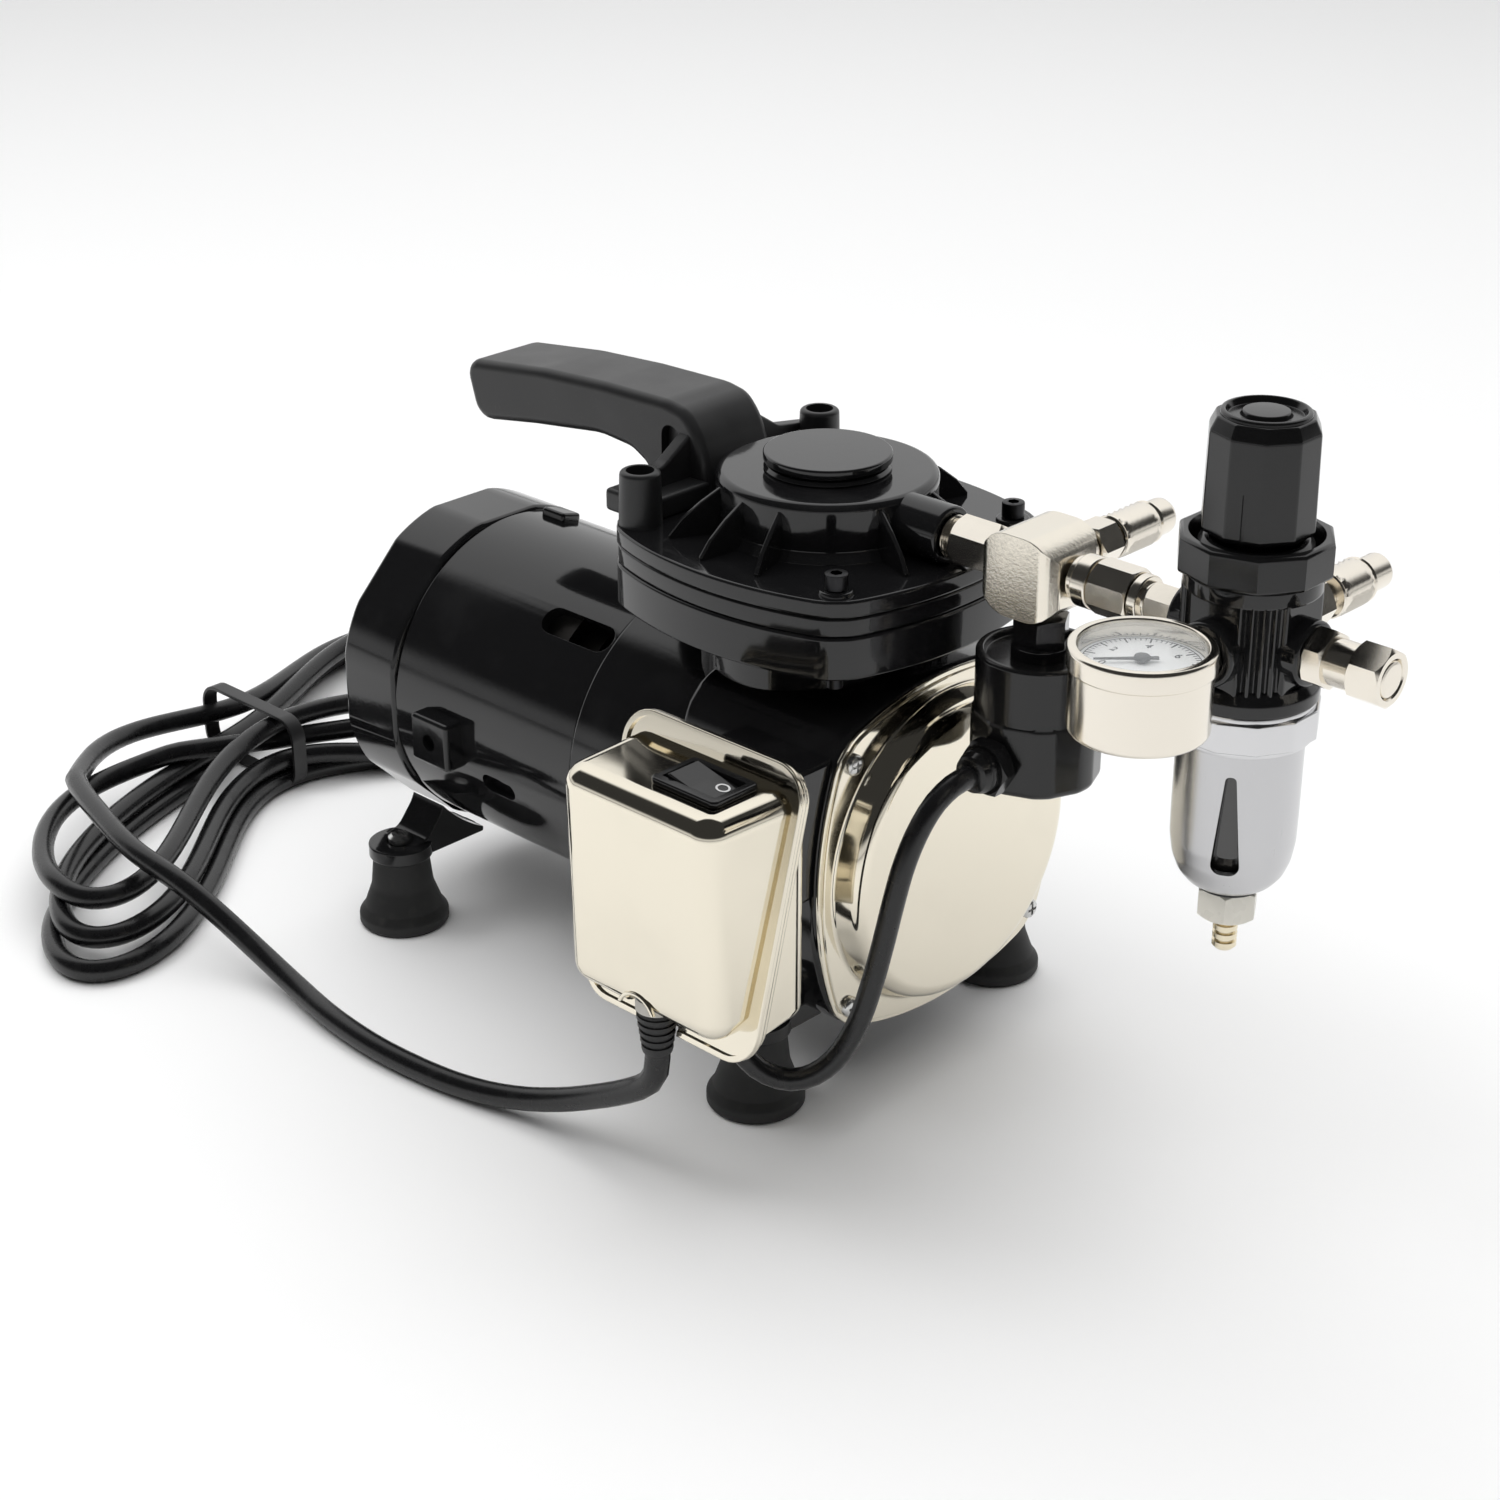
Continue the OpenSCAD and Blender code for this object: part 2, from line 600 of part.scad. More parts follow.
module bleed_valve_ring() {
    color([0.8, 0.78, 0.72]) place() difference() {
        rod_y(25, 40, 5.6, switch_x);
        rod_y(24, 41, 3 + run_cl, switch_x);
    }
}
module switch_adapter() {
    color([0.04, 0.04, 0.045]) place() {
        hex_z(switch_z1 + 1, block_z0 - 0.02, 12.4, switch_x);
        rod_z(switch_z1 - 2, switch_z1 + 1.5, 7, switch_x);
    }
}
module pressure_switch() {
    color([0.05, 0.05, 0.05]) place() difference() {
        union() {
            rod_z(118, switch_z1, switch_r, switch_x);
            // lower part with clipped sides
            intersection() {
                rod_z(switch_z0, 118.5, switch_r + 0.6, switch_x);
                translate([switch_x, 0, 0]) rotate(22.5)
                    cylinder(r = (switch_r + 0.3) / cos(22.5), h = 200, $fn = 8);
            }
        }
        rod_z(switch_z1 - 2, switch_z1 + 1, switch_r - 2, switch_x);
        rod_y(-switch_r - 2, -switch_r + 4, 3.6, switch_x, gland_z);
    }
}
module switch_gland() {
    color([0.05, 0.05, 0.05]) place() {
        rod_y(-switch_r - 1, -switch_r + 3.9, 3.55, switch_x, gland_z);
        hex_y(-switch_r - 5, -switch_r - 0.9, 10, switch_x, gland_z);
        rod_y(-25, -switch_r - 4.9, 4.2, switch_x, gland_z);
    }
}
module switch_lead() { color([0.06, 0.06, 0.06]) swept_tube(lead_path, lead_d, 8); }
module line_coupler() {
    color([0.8, 0.78, 0.72]) place() difference() {
        union() {
            rod_x(block_x1 + 0.02, 65, 5.6, 0, port_z);
            hex_x(64.9, 76, 12.5);
            rod_x(75.9, 80, 4.6, 0, port_z);
            hex_x(79.9, reg_x - reg_r - 2.02, 9);
        }
        rod_x(block_x1 - 1, reg_x, 2, 0, port_z);
    }
}

// ---- filter and regulator ----
module regulator_body() {
    color([0.03, 0.03, 0.035]) place() difference() {
        union() {
            rod_z(reg_low, reg_top, reg_r, reg_x);
            rod_z(rim_z, reg_low + 0.1, reg_r + 1.2, reg_x);
            rod_x(reg_x - reg_r - 2, reg_x + reg_r + 2, 7.6, 0, port_z);
            rod_y(-reg_r - 2, reg_r + 2, 7.6, reg_x);
        }
        rod_z(port_z + 8, reg_top + 1, reg_r - 3, reg_x);
        rod_z(rim_z - 1, port_z - 6, reg_r - 3, reg_x);
        rod_x(reg_x - 30, reg_x + 30, 2, 0, port_z);
        rod_z(port_z - 7, port_z + 9, 2.5, reg_x);
        rod_y(-30, 30, 2, reg_x);
    }
}
module bonnet_ring() {
    color([0.03, 0.03, 0.035]) place() difference() {
        union() {
            translate([reg_x, 0, reg_top + 0.02])
                cylinder(r = 17.6, h = 4.6, $fn = 10);
            rod_z(reg_top + 4.6, knob_z - 0.6, 17.2, reg_x);
        }
        rod_z(reg_top - 1, knob_z + 1, 10.5, reg_x);
    }
}
module adjusting_screw() {
    color([0.7, 0.7, 0.7]) place() {
        rod_z(port_z + 10, knob_z + 8, 4, reg_x);
        hex_z(knob_z + 7.9, knob_top - 8, 9, reg_x);
        // plate that presses the spring
        rod_z(port_z + 9, port_z + 11, 10, reg_x);
    }
}
module regulator_knob() {
    color([0.04, 0.04, 0.04]) place() difference() {
        union() {
            translate([reg_x, 0, knob_z]) cylinder(r = 12.6, h = knob_top - knob_z - 1.2, $fn = 10);
            rod_z(knob_top - 1.3, knob_top, 11.2, reg_x);
        }
        rod_z(knob_z - 1, knob_z + 6, 9.5, reg_x);
        hex_z(knob_z + 5, knob_top - 4, 9.1, reg_x);
        rod_z(knob_top - 1, knob_top + 1, 8.6, reg_x);
    }
}
module gauge_case() {
    color([0.82, 0.8, 0.74]) place() {
        difference() {
            union() {
                rod_z(gauge_z0, gauge_z1 - 4.5, gauge_r - 0.5, reg_x, -gauge_out);
                rod_z(gauge_z1 - 4.6, gauge_z1, gauge_r, reg_x, -gauge_out);
                rod_y(-gauge_out + 12, -reg_r - 5, 4.2, reg_x);
                hex_y(-gauge_out + gauge_r + 0.2, -reg_r - 2.02, 10, reg_x);
            }
            rod_z(gauge_z1 - 5, gauge_z1 + 1, gauge_r - 2.4, reg_x, -gauge_out);
            rod_z(gauge_z0 + 2, gauge_z1 - 6.2, gauge_r - 2.4, reg_x, -gauge_out);
        }
    }
}
module gauge_dial() {
    color([0.93, 0.93, 0.92]) place() difference() {
        rod_z(gauge_z1 - 4.98, gauge_z1 - 4.2, gauge_r - 2.5, reg_x, -gauge_out);
        rod_z(gauge_z1 - 6, gauge_z1 - 4, 0.9, reg_x, -gauge_out);
    }
}
module gauge_needle() {
    color([0.05, 0.05, 0.05]) place() translate([reg_x, -gauge_out, 0]) {
        rod_z(gauge_z1 - 4.9, gauge_z1 - 3.0, 0.7);
        difference() {
            rod_z(gauge_z1 - 3.6, gauge_z1 - 2.6, 1.9);
            rod_z(gauge_z1 - 5, gauge_z1 - 2, 0.6);
        }
        rotate(-135) translate([1.5, -0.3, gauge_z1 - 3.5]) cube([9.2, 0.6, 0.5]);
        rotate(45) translate([1.5, -0.5, gauge_z1 - 3.5]) cube([3, 1, 0.5]);
    }
}
module gauge_glass() {
    color([0.9, 0.95, 1, 0.3]) place()
        rod_z(gauge_z1 - 1.9, gauge_z1 - 0.5, gauge_r - 2.45, reg_x, -gauge_out);
}
module bowl_ring() {
    color([0.8, 0.8, 0.82]) place() difference() {
        translate([reg_x, 0, ring_low]) cylinder(r = reg_r + 1.9, h = rim_z - ring_low - 0.02, $fn = 12);
        rod_z(ring_low - 1, rim_z + 1, 14.6, reg_x);
    }
}
module filter_bowl() {
    color([0.78, 0.78, 0.8]) place() translate([reg_x, 0, 0]) difference() {
        rotate_extrude($fn = 96) polygon(concat([[0, rim_z - 0.05], [14.5, rim_z - 0.05],
            [14.5, bowl_low]], [for (a = [10:10:60]) [3.5 + 11 * cos(a), bowl_low - 14 * sin(a)]],
            [[8.2, dome_z], [0, dome_z]]));
        translate([0, 0, bowl_low - 4]) cylinder(r = 12.2, h = rim_z - bowl_low + 6);
        translate([0, 0, dome_z - 1]) cylinder(r = 3.6, h = 12);
        // sight slots on the near and far sides
        for (s = [-1, 1]) rotate([90, 0, 0]) translate([0, 0, s * 12 - 4]) linear_extrude(8)
            polygon([[-3.4, 92.5], [3.4, 92.5], [0.9, 118], [-0.9, 118]]);
    }
}
module filter_element() {
    color([0.85, 0.82, 0.7]) place() difference() {
        rod_z(104, port_z - 7, 6.5, reg_x);
        rod_z(106, port_z - 6, 4, reg_x);
    }
}
module drain_body() {
    color([0.82, 0.79, 0.7]) place() difference() {
        union() {
            rod_z(dome_z - 0.5, dome_z + 8, 3.55, reg_x);
            rod_z(dome_z - 0.9, dome_z - 0.02, 7.6, reg_x);
            hex_z(dome_z - 8.6, dome_z - 0.85, 13, reg_x);
        }
        rod_z(dome_z - 9, dome_z + 9, 2.1, reg_x);
    }
}
module drain_pin() {
    color([0.85, 0.72, 0.4]) place() {
        rod_z(67, dome_z - 10.2, 2.9, reg_x);
        rod_z(dome_z - 10.3, dome_z + 6, 2, reg_x);
    }
}
module hose_outlet() {
    color([0.82, 0.8, 0.74]) place() difference() {
        union() {
            hex_x(reg_x + reg_r + 2.02, 128.5, 12.4);
            rod_x(128.4, 135, 5.4, 0, port_z);
            hex_x(134.9, outlet_end, 12.4);
        }
        rod_x(outlet_end - 9, outlet_end + 1, outlet_bore, 0, port_z);
        rod_x(reg_x, outlet_end - 8.5, 2, 0, port_z);
    }
}
module rear_coupler() {
    color([0.82, 0.8, 0.74]) place() difference() {
        union() {
            hex_y(reg_r + 2.02, 26, 11, reg_x);
            rod_y(25.9, 46, 3.2, reg_x);
            rod_y(44, y_far, 4.4, reg_x);
        }
        rod_y(reg_r, y_far + 1, 1.6, reg_x);
    }
}
module rear_coupler_sleeve() {
    color([0.82, 0.8, 0.74]) place() difference() {
        rod_y(30, 43.6, 5.8, reg_x);
        rod_y(29, 45, 3.2 + run_cl, reg_x);
    }
}

// ---- cord ----
module power_cord() { color([0.05, 0.05, 0.055]) swept_tube(cord_path, cord_d, 10); }
// Outline of one rounded lobe of the hank
module lobe(a, b, r) {
    hull() {
        translate(a) circle(r = r);
        translate(b) circle(r = r);
    }
}
// Outer shape of the tied hank: two rounded lobes that meet at the tie
module cord_hank() {
    color([0.05, 0.05, 0.055]) linear_extrude(hank_h) {
        lobe([-186, -90], [-240, -16], 48);
        lobe([-243, 16], [-225, 81], 58);
    }
}
module plug() {
    // moulded three-pin plug lying by the hank
    color([0.05, 0.05, 0.055]) translate([-167, 94, 11]) rotate([0, 90, 8]) {
        translate([0, 0, 0.6]) cylinder(r = cord_d / 2 + 0.6, h = 12);
        translate([-9, -12.5, 12]) cube([18, 25, 30]);
        for (y = [-6.35, 6.35]) translate([-3.2, y - 0.75, 41]) cube([6.4, 1.5, 18]);
        translate([7 - 2.4, 0, 41]) cylinder(r = 2.4, h = 20);
    }
}

motor_housing();
rear_end_bell();
crankcase();
cylinder_block();
valve_plate();
cylinder_head();
intake_cap();
intake_filter();
handle();
handle_screws();
head_screws();
front_cover();
front_cover_screws();
bearings();
stator();
foot_front_near();
foot_front_far();
foot_rear_near();
foot_rear_far();
foot_screws();
front_foot_bracket();
rear_foot_bracket();
switch_box_base();
switch_box_cover();
rocker_frame();
rocker();
run_capacitor();
cord_gland();
outlet_nipple();
manifold_block();
bleed_valve_body();
bleed_valve_ring();
switch_adapter();
pressure_switch();
switch_gland();
switch_lead();
lead_gland();
line_coupler();
regulator_body();
bonnet_ring();
adjusting_screw();
regulator_knob();
gauge_case();
gauge_dial();
gauge_needle();
gauge_glass();
bowl_ring();
filter_bowl();
filter_element();
drain_body();
drain_pin();
hose_outlet();
rear_coupler();
rear_coupler_sleeve();
motor_shaft();
rotor_core();
connecting_rod();
power_cord();
cord_hank();
plug();
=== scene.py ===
import json
from math import cos, hypot, pi, radians, sin, sqrt, tan

import bmesh
import bpy
import numpy as np
from mathutils import Matrix, Vector

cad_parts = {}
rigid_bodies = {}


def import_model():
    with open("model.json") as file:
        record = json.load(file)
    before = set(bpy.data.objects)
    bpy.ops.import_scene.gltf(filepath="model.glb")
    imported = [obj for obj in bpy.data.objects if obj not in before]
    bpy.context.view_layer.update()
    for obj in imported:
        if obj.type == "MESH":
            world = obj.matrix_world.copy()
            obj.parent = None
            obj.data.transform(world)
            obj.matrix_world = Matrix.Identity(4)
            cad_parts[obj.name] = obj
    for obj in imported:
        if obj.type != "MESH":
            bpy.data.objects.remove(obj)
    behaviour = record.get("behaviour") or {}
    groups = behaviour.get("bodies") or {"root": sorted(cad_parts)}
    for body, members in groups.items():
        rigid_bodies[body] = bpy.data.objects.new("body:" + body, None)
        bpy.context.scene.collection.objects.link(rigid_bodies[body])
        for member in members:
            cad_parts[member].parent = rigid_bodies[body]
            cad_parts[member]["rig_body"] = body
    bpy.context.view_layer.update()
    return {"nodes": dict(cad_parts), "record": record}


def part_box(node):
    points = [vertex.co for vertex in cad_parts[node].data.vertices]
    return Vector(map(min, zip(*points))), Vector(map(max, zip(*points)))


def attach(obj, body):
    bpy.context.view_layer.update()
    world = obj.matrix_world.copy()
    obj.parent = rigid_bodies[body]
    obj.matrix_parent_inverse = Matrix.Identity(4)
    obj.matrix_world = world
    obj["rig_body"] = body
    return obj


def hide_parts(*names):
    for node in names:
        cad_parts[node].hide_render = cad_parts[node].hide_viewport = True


bl_info = {
    "name": "Airbrush compressor",
    "version": (1, 0, 0),
    "blender": (4, 5, 0),
    "location": "View3D > Sidebar > Compressor",
    "description": "Builds the airbrush compressor's visible pieces on its CAD frame",
    "category": "Add Mesh",
}

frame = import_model()
SLOT_OF = {s["node"]: s["material_slot"] for s in frame["record"]["subparts"]}

# ---------------------------------------------------------------- measuring
# Shapes are modelled in millimetres from the point on the floor under the shaft, over the
# front feet, and show() moves them to their place.


def _row(node):
    low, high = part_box(node)
    return Vector(low) * 1000, Vector(high) * 1000


def _origin():
    foot, bell = _row("foot_front_near"), _row("rear_end_bell")
    return Vector(((foot[0].x + foot[1].x) / 2, (bell[0].y + bell[1].y) / 2, 0))


ORIGIN = _origin()


class Span:
    """The box round some CAD nodes, in millimetres from the machine's own origin."""

    def __init__(self, *nodes):
        rows = [_row(n) for n in nodes]
        self.low = Vector([min(r[0][i] for r in rows) for i in range(3)]) - ORIGIN
        self.high = Vector([max(r[1][i] for r in rows) for i in range(3)]) - ORIGIN
        self.mid = (self.low + self.high) / 2
        self.size = self.high - self.low


SHAFT_Z = Span("rear_end_bell").mid.z
TUBE_R, TUBE_WALL = 45, 3.5      # motor tube
BELL_CLEAR = 47.52               # radius that clears the rear end bell
BOLT = 33                        # from the head's axis to each corner screw, both ways
BORE_R = 20                      # cylinder bore
CORNER_CLIP = 1.135              # reach of the castings' corners, in half widths

# ---------------------------------------------------------------- shaping

FACING = {
    "z": Matrix.Identity(4),
    "x": Matrix(((0, 0, 1, 0), (1, 0, 0, 0), (0, 1, 0, 0), (0, 0, 0, 1))),
    "y": Matrix(((1, 0, 0, 0), (0, 0, 1, 0), (0, 1, 0, 0), (0, 0, 0, 1))),
    "-x": Matrix(((0, 0, -1, 0), (1, 0, 0, 0), (0, 1, 0, 0), (0, 0, 0, 1))),
    "-y": Matrix(((1, 0, 0, 0), (0, 0, -1, 0), (0, 1, 0, 0), (0, 0, 0, 1))),
}


def rounded(corners, radius, steps=5, closed=True):
    """Points of an outline with its corners rounded, by one radius or a list of them."""
    points, count = [], len(corners)
    for i, corner in enumerate(corners):
        r = radius[i] if isinstance(radius, (list, tuple)) else radius
        here = Vector(corner)
        if r <= 0 or (not closed and i in (0, count - 1)):
            points.append(here)
            continue
        back = Vector(corners[i - 1]) - here
        on = Vector(corners[(i + 1) % count]) - here
        half = back.angle(on) / 2
        if half > radians(89):
            points.append(here)
            continue
        cut = min(r / tan(half), back.length * 0.49, on.length * 0.49)
        bow = cut * tan(half)
        start, end = here + back.normalized() * cut, here + on.normalized() * cut
        middle = here + (back.normalized() + on.normalized()).normalized() * (bow / sin(half))
        a, b = start - middle, end - middle
        turn = a.angle_signed(b)
        for k in range(steps + 1):
            points.append(middle + Matrix.Rotation(-turn * k / steps, 2) @ a)
    return [tuple(p) for p in points]


def outward(bm):
    """Turns every face of a closed shape to point out of it."""
    bm.normal_update()
    bmesh.ops.recalc_face_normals(bm, faces=bm.faces)
    if bm.calc_volume(signed=True) < 0:
        bmesh.ops.reverse_faces(bm, faces=bm.faces)
    return bm


def placed(bm, at=(0, 0, 0), facing="z"):
    """Stands a shape at a point, with its own Z turned to face that way."""
    bm.transform(Matrix.Translation(at) @ FACING[facing])
    return outward(bm)


def turned(profile, at=(0, 0, 0), facing="z", steps=72, soft=0):
    """A lathe-turned shape: the profile is (radius, height) from one end to the other."""
    ring = profile[0][0] > 0 and profile[-1][0] > 0
    if soft:
        profile = rounded(profile, soft, 4, closed=ring)
    bm = bmesh.new()
    verts = [bm.verts.new((r, 0, h)) for r, h in profile]
    edges = [bm.edges.new(pair) for pair in zip(verts, verts[1:])]
    if ring:
        edges.append(bm.edges.new((verts[-1], verts[0])))
    bmesh.ops.spin(bm, geom=verts + edges, cent=(0, 0, 0), axis=(0, 0, 1), angle=2 * pi,
                   steps=steps, use_merge=True, use_duplicate=False)
    bmesh.ops.remove_doubles(bm, verts=bm.verts, dist=1e-4)
    bmesh.ops.dissolve_degenerate(bm, edges=bm.edges, dist=1e-5)
    return placed(bm, at, facing)


def rod(r, low, high, at=(0, 0, 0), facing="z", steps=72, soft=0):
    """A plain round bar, or the drill for a bore."""
    profile = [(0, low), (r, low), (r, high), (0, high)]
    return turned(profile, at, facing, steps, soft)


def prism(outline, depth, at=(0, 0, 0), facing="z", soft=0, steps=3, angle=30):
    """An outline extruded by depth, with its sharp edges rounded."""
    bm = bmesh.new()
    face = bm.faces.new([bm.verts.new((u, v, 0)) for u, v in outline])
    out = bmesh.ops.extrude_face_region(bm, geom=[face])
    top = [g for g in out["geom"] if isinstance(g, bmesh.types.BMVert)]
    bmesh.ops.translate(bm, verts=top, vec=(0, 0, depth))
    bmesh.ops.recalc_face_normals(bm, faces=bm.faces)
    if soft:
        eased(bm, soft, steps, angle)
    return placed(bm, at, facing)


def pillow(outline, depth, soft, at=(0, 0, 0), facing="z", steps=5):
    """An extruded outline whose two ends are rounded over, by insets that step outwards."""
    bm = bmesh.new()
    face = bm.faces.new([bm.verts.new((u, v, soft)) for u, v in outline])
    out = bmesh.ops.extrude_face_region(bm, geom=[face])
    top = [g for g in out["geom"] if isinstance(g, bmesh.types.BMVert)]
    bmesh.ops.translate(bm, verts=top, vec=(0, 0, depth - 2 * soft))
    bmesh.ops.recalc_face_normals(bm, faces=bm.faces)
    ends = [f for f in bm.faces if abs(f.normal.z) > 0.9]
    for k in range(1, steps + 1):
        a, b = (k - 1) / steps * pi / 2, k / steps * pi / 2
        bmesh.ops.inset_region(bm, faces=ends, thickness=soft * (cos(a) - cos(b)),
                               depth=soft * (sin(b) - sin(a)), use_boundary=True,
                               use_even_offset=True)
    return placed(bm, at, facing)


def polygon(sides, flats, turn=0.0):
    """Outline of a regular polygon by the distance across its flats."""
    r = flats / 2 / cos(pi / sides)
    return [(r * cos(turn + 2 * pi * k / sides), r * sin(turn + 2 * pi * k / sides))
            for k in range(sides)]


def block(size, at, soft=0, steps=3):
    """A box round a middle point."""
    bm = bmesh.new()
    bmesh.ops.create_cube(bm, size=1)
    bmesh.ops.scale(bm, verts=bm.verts, vec=size)
    if soft:
        eased(bm, soft, steps)
    return placed(bm, at)


def eased(bm, width, steps=3, angle=30, keep=None):
    """Rounds the edges that are sharper than the angle."""
    edges = [e for e in bm.edges if len(e.link_faces) == 2
             and e.calc_face_angle(0) > radians(angle) and (keep is None or keep(e))]
    if edges:
        bmesh.ops.bevel(bm, geom=edges, offset=width, offset_type="OFFSET", segments=steps,
                        profile=0.5, affect="EDGES", clamp_overlap=True, material=-1)
    return bm


def _loose(bm):
    """A shape as an object, for the Boolean modifier."""
    mesh = bpy.data.meshes.new("loose")
    bm.to_mesh(mesh)
    bm.free()
    piece = bpy.data.objects.new("loose", mesh)
    bpy.context.scene.collection.objects.link(piece)
    return piece


def _worked(bm, other, how):
    """Two closed shapes joined, cut or crossed."""
    a, b = _loose(outward(bm)), _loose(outward(other))
    tool = a.modifiers.new("Tool", "BOOLEAN")
    tool.operation, tool.solver, tool.object = how, "EXACT", b
    graph = bpy.context.evaluated_depsgraph_get()
    made = bpy.data.meshes.new_from_object(a.evaluated_get(graph))
    out = bmesh.new()
    out.from_mesh(made)
    for piece in (a, b):
        mesh = piece.data
        bpy.data.objects.remove(piece)
        bpy.data.meshes.remove(mesh)
    bpy.data.meshes.remove(made)
    bmesh.ops.remove_doubles(out, verts=out.verts, dist=1e-4)
    bmesh.ops.dissolve_degenerate(out, edges=out.edges, dist=1e-4)
    return out


def joined(first, *others):
    for other in others:
        first = _worked(first, other, "UNION")
    return first


def carved(body, *cutters):
    for cutter in cutters:
        body = _worked(body, cutter, "DIFFERENCE")
    return body


def kept_inside(body, other):
    return _worked(body, other, "INTERSECT")


def together(*shapes):
    """One mesh of separate shells, such as a row of screws."""
    out = bmesh.new()
    for bm in shapes:
        mesh = bpy.data.meshes.new("part")
        bm.to_mesh(mesh)
        bm.free()
        out.from_mesh(mesh)
        bpy.data.meshes.remove(mesh)
    return out


def spun(bm, angle, at, axis="Z"):
    """Turns a shape about a line through a point."""
    bm.transform(Matrix.Translation(at) @ Matrix.Rotation(radians(angle), 4, axis)
                 @ Matrix.Translation(-Vector(at)))
    return bm


def mirrored(bm):
    """The shape and its twin on the far side of the shaft."""
    twin = bm.copy()
    bmesh.ops.scale(twin, verts=twin.verts, vec=(1, -1, 1))
    bmesh.ops.reverse_faces(twin, faces=twin.faces)
    return together(bm, twin)


def bulged(half, shrink=0.0, steps=120):
    """Square outline with bowed sides and corners clipped by a circle."""
    arc = settings().case_arc * 1000 - settings().case_half * 1000 + half
    off = arc - half
    clip = half * CORNER_CLIP
    points = []
    for k in range(steps):
        a = 2 * pi * k / steps
        c, s = cos(a), sin(a)
        reach = clip
        for u, v in ((c, s), (-c, s), (s, c), (-s, c)):
            if u > 0:
                # how far the ray runs to this side's arc, whose centre is off the middle
                reach = min(reach, sqrt(max(0.0, arc * arc - off * off * v * v)) - u * off)
        points.append(((reach - shrink) * c, (reach - shrink) * s))
    return points


def show(bm, name, finish, *nodes, body=None, smooth=32, slot=None):
    """Puts a finished shape in its place, as a piece that stands for these CAD nodes."""
    bmesh.ops.translate(bm, verts=bm.verts, vec=ORIGIN)
    bmesh.ops.scale(bm, verts=bm.verts, vec=(0.001,) * 3)
    mesh = bpy.data.meshes.new(name)
    bm.to_mesh(mesh)
    bm.free()
    mesh.shade_smooth()
    mesh.set_sharp_from_angle(angle=radians(smooth))
    mesh.materials.append(finish)
    piece = bpy.data.objects.new(name, mesh)
    bpy.context.scene.collection.objects.link(piece)
    shading = piece.modifiers.new("Shading", "WEIGHTED_NORMAL")
    shading.keep_sharp = True
    if nodes:
        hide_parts(*nodes)
        body = frame["nodes"][nodes[0]]["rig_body"]
        slot = slot or SLOT_OF[nodes[0]]
    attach(piece, body)
    return piece


def paint_cad(finish, *nodes):
    """Gives CAD nodes that stay as they are their finish."""
    for node in nodes:
        piece = frame["nodes"][node]
        piece.data.materials.clear()
        piece.data.materials.append(finish)


# ---------------------------------------------------------------- finishes


class Wire:
    """A value that leaves a shader node's socket, and can be reckoned with."""

    def __init__(self, finish, socket):
        self.finish, self.socket = finish, socket

    def _math(self, how, *values):
        made = self.finish.node("ShaderNodeMath", {"operation": how})
        for slot, value in zip(made.inputs, values):
            self.finish.feed(slot, value)
        return Wire(self.finish, made.outputs[0])

    def __add__(self, other):
        return self._math("ADD", self, other)

    def __sub__(self, other):
        return self._math("SUBTRACT", self, other)

    def __rsub__(self, other):
        return self._math("SUBTRACT", other, self)

    def __mul__(self, other):
        return self._math("MULTIPLY", self, other)

    def highest(self, other):
        return self._math("MAXIMUM", self, other)

    def within(self, low, high):
        """0 below low, 1 above high, and a soft step between."""
        made = self.finish.node("ShaderNodeMapRange", {"interpolation_type": "SMOOTHSTEP"},
                                {"Value": self, "From Min": low, "From Max": high})
        return Wire(self.finish, made.outputs["Result"])

    __radd__, __rmul__ = __add__, __mul__


class Finish:
    """Builds one procedural material."""

    def __init__(self, name):
        self.material = bpy.data.materials.new(name)
        self.material.use_nodes = True
        self.tree = self.material.node_tree
        self.tree.nodes.clear()
        self.place = self.node("ShaderNodeTexCoord").outputs["Object"]

    def node(self, kind, settings=None, values=None):
        """Adds a node, with its settings first and then its sockets' values or links."""
        made = self.tree.nodes.new(kind)
        for key, value in (settings or {}).items():
            setattr(made, key, value)
        for key, value in (values or {}).items():
            self.feed(made.inputs[key], value)
        return made

    def feed(self, slot, value):
        if isinstance(value, Wire):
            value = value.socket
        if isinstance(value, bpy.types.NodeSocket):
            self.tree.links.new(value, slot)
        elif isinstance(value, (tuple, list)) and len(value) == 3 and slot.type == "RGBA":
            slot.default_value = (*value, 1)
        else:
            slot.default_value = value

    def noise(self, size, detail=2.0, rough=0.5, place=None):
        """Soft noise whose grains are about this many millimetres."""
        made = self.node("ShaderNodeTexNoise", None, {
            "Vector": place or self.place, "Scale": 1000 / size, "Detail": detail,
            "Roughness": rough})
        return Wire(self, made.outputs["Fac"])

    def stretched(self, x, y, z):
        made = self.node("ShaderNodeMapping", None, {"Vector": self.place, "Scale": (x, y, z)})
        return made.outputs["Vector"]

    def blend(self, amount, first, second):
        made = self.node("ShaderNodeMix", {"data_type": "RGBA"})
        self.feed(made.inputs["Factor"], amount)
        self.feed(made.inputs[6], first)
        self.feed(made.inputs[7], second)
        return made.outputs[2]

    def bump(self, height, depth, strength):
        """Relief of the height wire, depth in millimetres."""
        return self.node("ShaderNodeBump", None, {
            "Height": height, "Distance": depth / 1000, "Strength": strength}).outputs["Normal"]

    def coated(self, colour, roughness, metallic=0.0, normal=None, **rest):
        """The finished material: rest names further sockets, such as coat_weight."""
        values = {"Base Color": colour, "Roughness": roughness, "Metallic": metallic}
        if normal is not None:
            values["Normal"] = normal
        values.update({k.replace("_", " ").title().replace("Ior", "IOR"): v
                       for k, v in rest.items()})
        shader = self.node("ShaderNodeBsdfPrincipled", None, values)
        out = self.node("ShaderNodeOutputMaterial")
        self.tree.links.new(shader.outputs[0], out.inputs["Surface"])
        return self.material


FINISHES = {}


